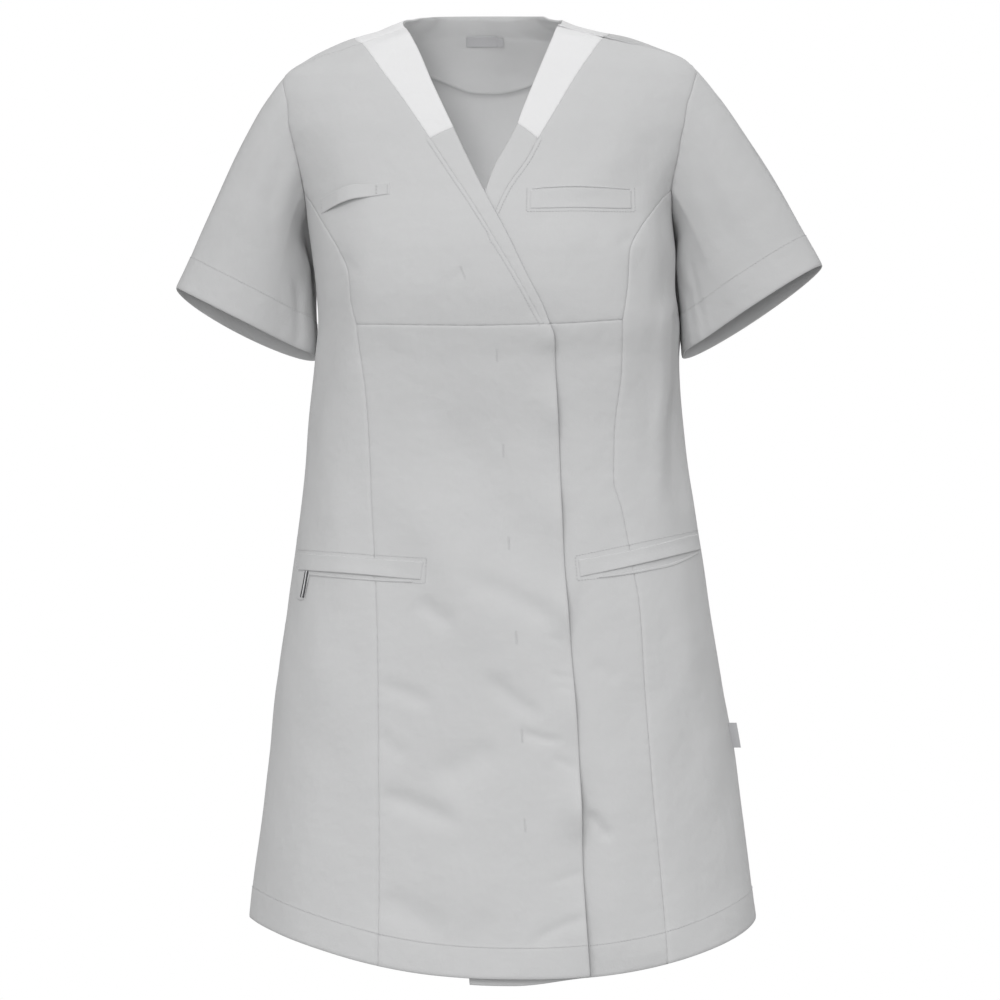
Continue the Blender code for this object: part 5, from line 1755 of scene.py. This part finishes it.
# %% [markdown]
# ## Stitches
# Every row of stitches is a line of short, round stitches that dip into the cloth at both ends. A
# hair curve or a texture could show them, but as small meshes they catch the light. One stitch is a
# capsule of a few dozen faces; all the stitches of a row are computed at once by placing that
# capsule at each step of the row's path, along it, across it and out of the cloth.

# %% Stitches
STITCH_PITCH = 3.1
STITCH_LENGTH = 2.2
STITCH_RADIUS = 0.40
STITCH_SIDES = 5
# Rings of the capsule, for a stitch of length 1 and radius 1: along, half width, out.
stitch_rings = np.array([(-0.5, 0.3, -0.9), (-0.3, 0.95, 0.0), (0.3, 0.95, 0.0), (0.5, 0.3, -0.9)])
stitch_turns = np.linspace(0, 2 * math.pi, STITCH_SIDES, endpoint=False)
capsule = np.array(
    [
        (at, fat * math.cos(turn), fat * math.sin(turn) + rise)
        for at, fat, rise in stitch_rings
        for turn in stitch_turns
    ]
)
capsule_index = closed(np.arange(len(capsule)).reshape(len(stitch_rings), STITCH_SIDES))
last_ring = (len(stitch_rings) - 1) * STITCH_SIDES
fans = range(1, STITCH_SIDES - 1)
capsule_cells = np.concatenate(
    [
        quads_of(capsule_index)[:, ::-1],
        [(0, k + 1, k, k) for k in fans],
        [(last_ring, last_ring + k, last_ring + k + 1, last_ring + k + 1) for k in fans],
    ]
)


def at_lengths(at, along, rows):
    """Rows of three numbers read off at several lengths along a path."""
    return np.stack([np.interp(at, along, rows[:, k]) for k in range(3)], axis=1)


def stitch_row(points, out_way, pitch=STITCH_PITCH, length=STITCH_LENGTH, radius=STITCH_RADIUS, sunk=0.0):
    """The capsule's points at each step of a path, turned along it and lifted out of the cloth."""
    points = np.asarray(points, float)
    along = np.append(0, np.cumsum(np.linalg.norm(np.diff(points, axis=0), axis=1)))
    count = max(int(along[-1] / pitch), 1)
    at = (np.arange(count) + 0.5) * along[-1] / count
    place = at_lengths(at, along, points)
    tangent = unit(at_lengths(at + 0.5, along, points) - at_lengths(at - 0.5, along, points))
    out = unit(at_lengths(at, along, out_way))
    across = unit(np.cross(out, tangent))
    out = np.cross(tangent, across)
    size = capsule * (length, radius, radius)
    rows = place[:, None] + (
        size[None, :, :1] * tangent[:, None]
        + size[None, :, 1:2] * across[:, None]
        + (size[None, :, 2:] + radius * (0.5 - sunk)) * out[:, None]
    )
    return rows.reshape(-1, 3)


def stitches(name, rows):
    """One mesh of all the stitches of several rows; it rides with the cloth."""
    points = np.concatenate(rows)
    count = len(points) // len(capsule)
    faces = (capsule_cells[None] + np.arange(count)[:, None, None] * len(capsule)).reshape(-1, 4)
    mesh = mesh_piece(name, points * MM, faces, grey_thread, points[:, [0, 2]] * MM)
    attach(mesh, "root")
    print(f"{name}: {count} stitches")


def on_cloth(curve, height, out=0.0):
    """Points on the cloth along a (turn, drop) curve and the way out of it there."""
    turn, drop = np.asarray(curve, float).T
    return worn(turn, drop, height(turn, drop) + out), form_normal(turn, drop)


def beside(curve, distance):
    """The curve moved sideways on the form: the step is solved in turn and drop."""
    turn, drop = np.asarray(curve, float).T
    place = form(turn, drop)
    step_turn = form(turn + 0.25, drop) - form(turn - 0.25, drop)
    step_drop = form(turn, drop + 0.5) - form(turn, drop - 0.5)
    sideways = np.cross(form_normal(turn, drop), unit(np.gradient(place, axis=0))) * distance
    tt = np.sum(step_turn * step_turn, axis=1)
    dd = np.sum(step_drop * step_drop, axis=1)
    td = np.sum(step_turn * step_drop, axis=1)
    st = np.sum(step_turn * sideways, axis=1)
    sd = np.sum(step_drop * sideways, axis=1)
    det = tt * dd - td * td
    return np.stack([turn + 0.5 * (st * dd - sd * td) / det, drop + (sd * tt - st * td) / det], axis=1)


def side_towards(curve, distance, inside):
    """beside, on the side on which the (turn, drop) point inside lies."""
    middle = len(curve) // 2
    both = (beside(curve, -distance), beside(curve, distance))
    return min(both, key=lambda moved: np.linalg.norm(form(*moved[middle]) - form(*inside)))


def row_on(piece_name, curve):
    """A row of stitches along a (turn, drop) curve on one of the cut pieces."""
    points, out_way = on_cloth(curve, pieces[piece_name].height)
    return stitch_row(points, out_way)


BAND_ASIDE = (90, 200.0)  # across and drop of a place that lies on the bodice beside the band
band_rows = [
    row_on(
        f"bodice_{side}_cloth",
        side_towards(
            dense(front.band_seam),
            STITCH_INSET,
            (float(turn_of(sign * BAND_ASIDE[0], BAND_ASIDE[1])), BAND_ASIDE[1]),
        ),
    )
    for side, front, sign in (("right", right_front, -1), ("left", left_front, 1))
]
stitches("band_stitches", band_rows)

hem_rows = []
for name in ("skirt_right_cloth", "skirt_left_cloth", "side_right_cloth", "side_left_cloth", "back_cloth"):
    depth, hem_curve = pieces[name].edges[-1]
    middle = hem_curve[len(hem_curve) // 2]
    hem_rows.append(row_on(name, side_towards(hem_curve, depth, (middle[0], middle[1] - 60))))
stitches("hem_stitches", hem_rows)


def boxed(corners):
    """A closed or open run of straight lines through (across, drop) corners, as (turn, drop)."""
    corners = np.asarray(corners, float)
    parts = []
    for a, b in zip(corners[:-1], corners[1:]):
        count = max(int(np.linalg.norm(b - a) / DENSE_STEP), 2)
        parts.append(a + (b - a) * np.linspace(0, 1, count + 1)[:, None])
    points = np.concatenate(parts)
    return np.stack([turn_of(points[:, 0], points[:, 1]), points[:, 1]], axis=1)


def flat_row(corners, base, out=0.0):
    """A row of stitches along straight lines on the front."""
    rows = []
    for a, b in zip(corners[:-1], corners[1:]):
        points, out_way = on_cloth(boxed([a, b]), base, out)
        rows.append(stitch_row(points, out_way))
    return np.concatenate(rows)


welt_rows = [
    flat_row(
        [(-202, 549.5), (-201, 527.5), (-70, 536.5), (-71.5, 561.5), (-130, 558), (-190, 554)], right_base
    ),
    flat_row([(200, 508.5), (78, 534), (80, 558.5), (120, 554.5), (150, 549.5)], left_base),
    flat_row([(30, 165), (29.5, 189.5), (138, 189.5), (138, 165)], left_base),
    flat_row([(-175, 177), (-174, 190.5)], right_base, 1.1),
    flat_row([(-120.5, 162.5), (-120, 173.2)], right_base, 1.3),
    flat_row([(-109.3, 162.5), (-108.8, 171.8)], right_base, 1.1),
]
stitches("pocket_stitches", welt_rows)

cuff_rows = []
for side in ("right", "left"):
    sleeve = pieces[f"sleeve_{side}_cloth"]
    # In each column the row lies where the distance to the cuff passes the depth of the hem.
    rows = np.arange(len(sleeve.to_cuff))
    share = np.array([np.interp(-CUFF_HEM, -column, rows) for column in sleeve.to_cuff.T])
    low = np.floor(share).astype(int)
    part = (share - low)[:, None]
    columns = np.arange(len(share))
    points = sleeve.outer[low, columns] * (1 - part) + sleeve.outer[low + 1, columns] * part
    out_way = sleeve.normals[low, columns]
    cuff_rows.append(stitch_row(np.vstack([points, points[:1]]), np.vstack([out_way, out_way[:1]])))
stitches("cuff_stitches", cuff_rows)

# Seven bar tacks on the upper front: short, close zigzags.
TACKS = (
    # across, drop, height, lean
    (-34, 251, 13, 5.0),
    (0, 333, 14, 0.3),
    (6.5, 429, 14, 0.3),
    (11.8, 521, 14, 0.4),
    (19.3, 616, 14, 0.6),
    (25, 714, 14, 0.8),
    (28, 803, 14, 0.8),
)
TACK_STEP = 0.9  # from one bar of the zigzag to the next
TACK_HALF_WIDTH = 1.1
TACK_STITCH = (1.5, 1.6, 0.26, 0.5)  # pitch, length, radius and how deep it is sunk
tack_rows = []
for across, drop, tall, lean in TACKS:
    bars = np.arange(0, tall, TACK_STEP)
    share = (bars / tall - 0.5)[:, None]
    side = np.where(np.arange(len(bars)) % 2 == 0, -TACK_HALF_WIDTH, TACK_HALF_WIDTH)[:, None]
    line = np.array([across, drop]) + share * np.array([lean, tall]) + side * np.array([1.0, 0.15])
    curve = np.stack([turn_of(line[:, 0], line[:, 1]), line[:, 1]], axis=1)
    points, out_way = on_cloth(curve, right_base)
    tack_rows.append(stitch_row(points, out_way, *TACK_STITCH))
stitches("bar_tacks", tack_rows)

# %% [markdown]
# ## The solids that the cloth replaces
# Each cloth piece stands for its own solid, which is hidden, and rides with the root. On the real
# tunic the shoulders carry the bodices and the back, and the rest hangs from those.

# %% The solids that the cloth replaces
for node, rests_on in (
    ("bodice_right", ["neck_panel_right_cloth"]),
    ("bodice_left", ["neck_panel_left_cloth"]),
    ("skirt_right", ["bodice_right_cloth"]),
    ("skirt_left", ["bodice_left_cloth"]),
    ("side_right", ["bodice_right_cloth", "skirt_right_cloth"]),
    ("side_left", ["bodice_left_cloth", "skirt_left_cloth"]),
    ("neck_panel_right", ["bodice_right_cloth"]),
    ("neck_panel_left", ["bodice_left_cloth"]),
    ("neck_band_right", ["bodice_right_cloth"]),
    ("neck_band_left", ["bodice_left_cloth"]),
    ("back", ["bodice_right_cloth", "bodice_left_cloth"]),
    ("neck_band_back", ["back_cloth"]),
    ("back_neck_facing", ["neck_band_back_cloth"]),
    ("sleeve_right", ["bodice_right_cloth", "back_cloth"]),
    ("sleeve_left", ["bodice_left_cloth", "back_cloth"]),
):
    pieces[f"{node}_cloth"].declare(node, "hung", rests_on)

for name, node, rests_on, with_pieces in (
    ("hip_welt_right_cloth", "hip_welt_right", "skirt_right_cloth", ["hip_lip_right"]),
    ("hip_welt_left_cloth", "hip_welt_left", "skirt_left_cloth", ["hip_lip_left"]),
    ("chest_welt_left_cloth", "chest_welt_left", "bodice_left_cloth", ["chest_lip_left"]),
    ("chest_tab_right_cloth", "chest_tab_right", "bodice_right_cloth", []),
    ("key_loop_right_tape", "key_loop_right", "side_right_cloth", [cord.name for cord in cords]),
    ("neck_label_tape", "neck_label", "back_neck_facing_cloth", []),
):
    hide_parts(node)
for node in ("size_tag", "side_tab_left"):
    for slot in bpy.data.objects[node].material_slots:
        slot.material = grey_ribbon
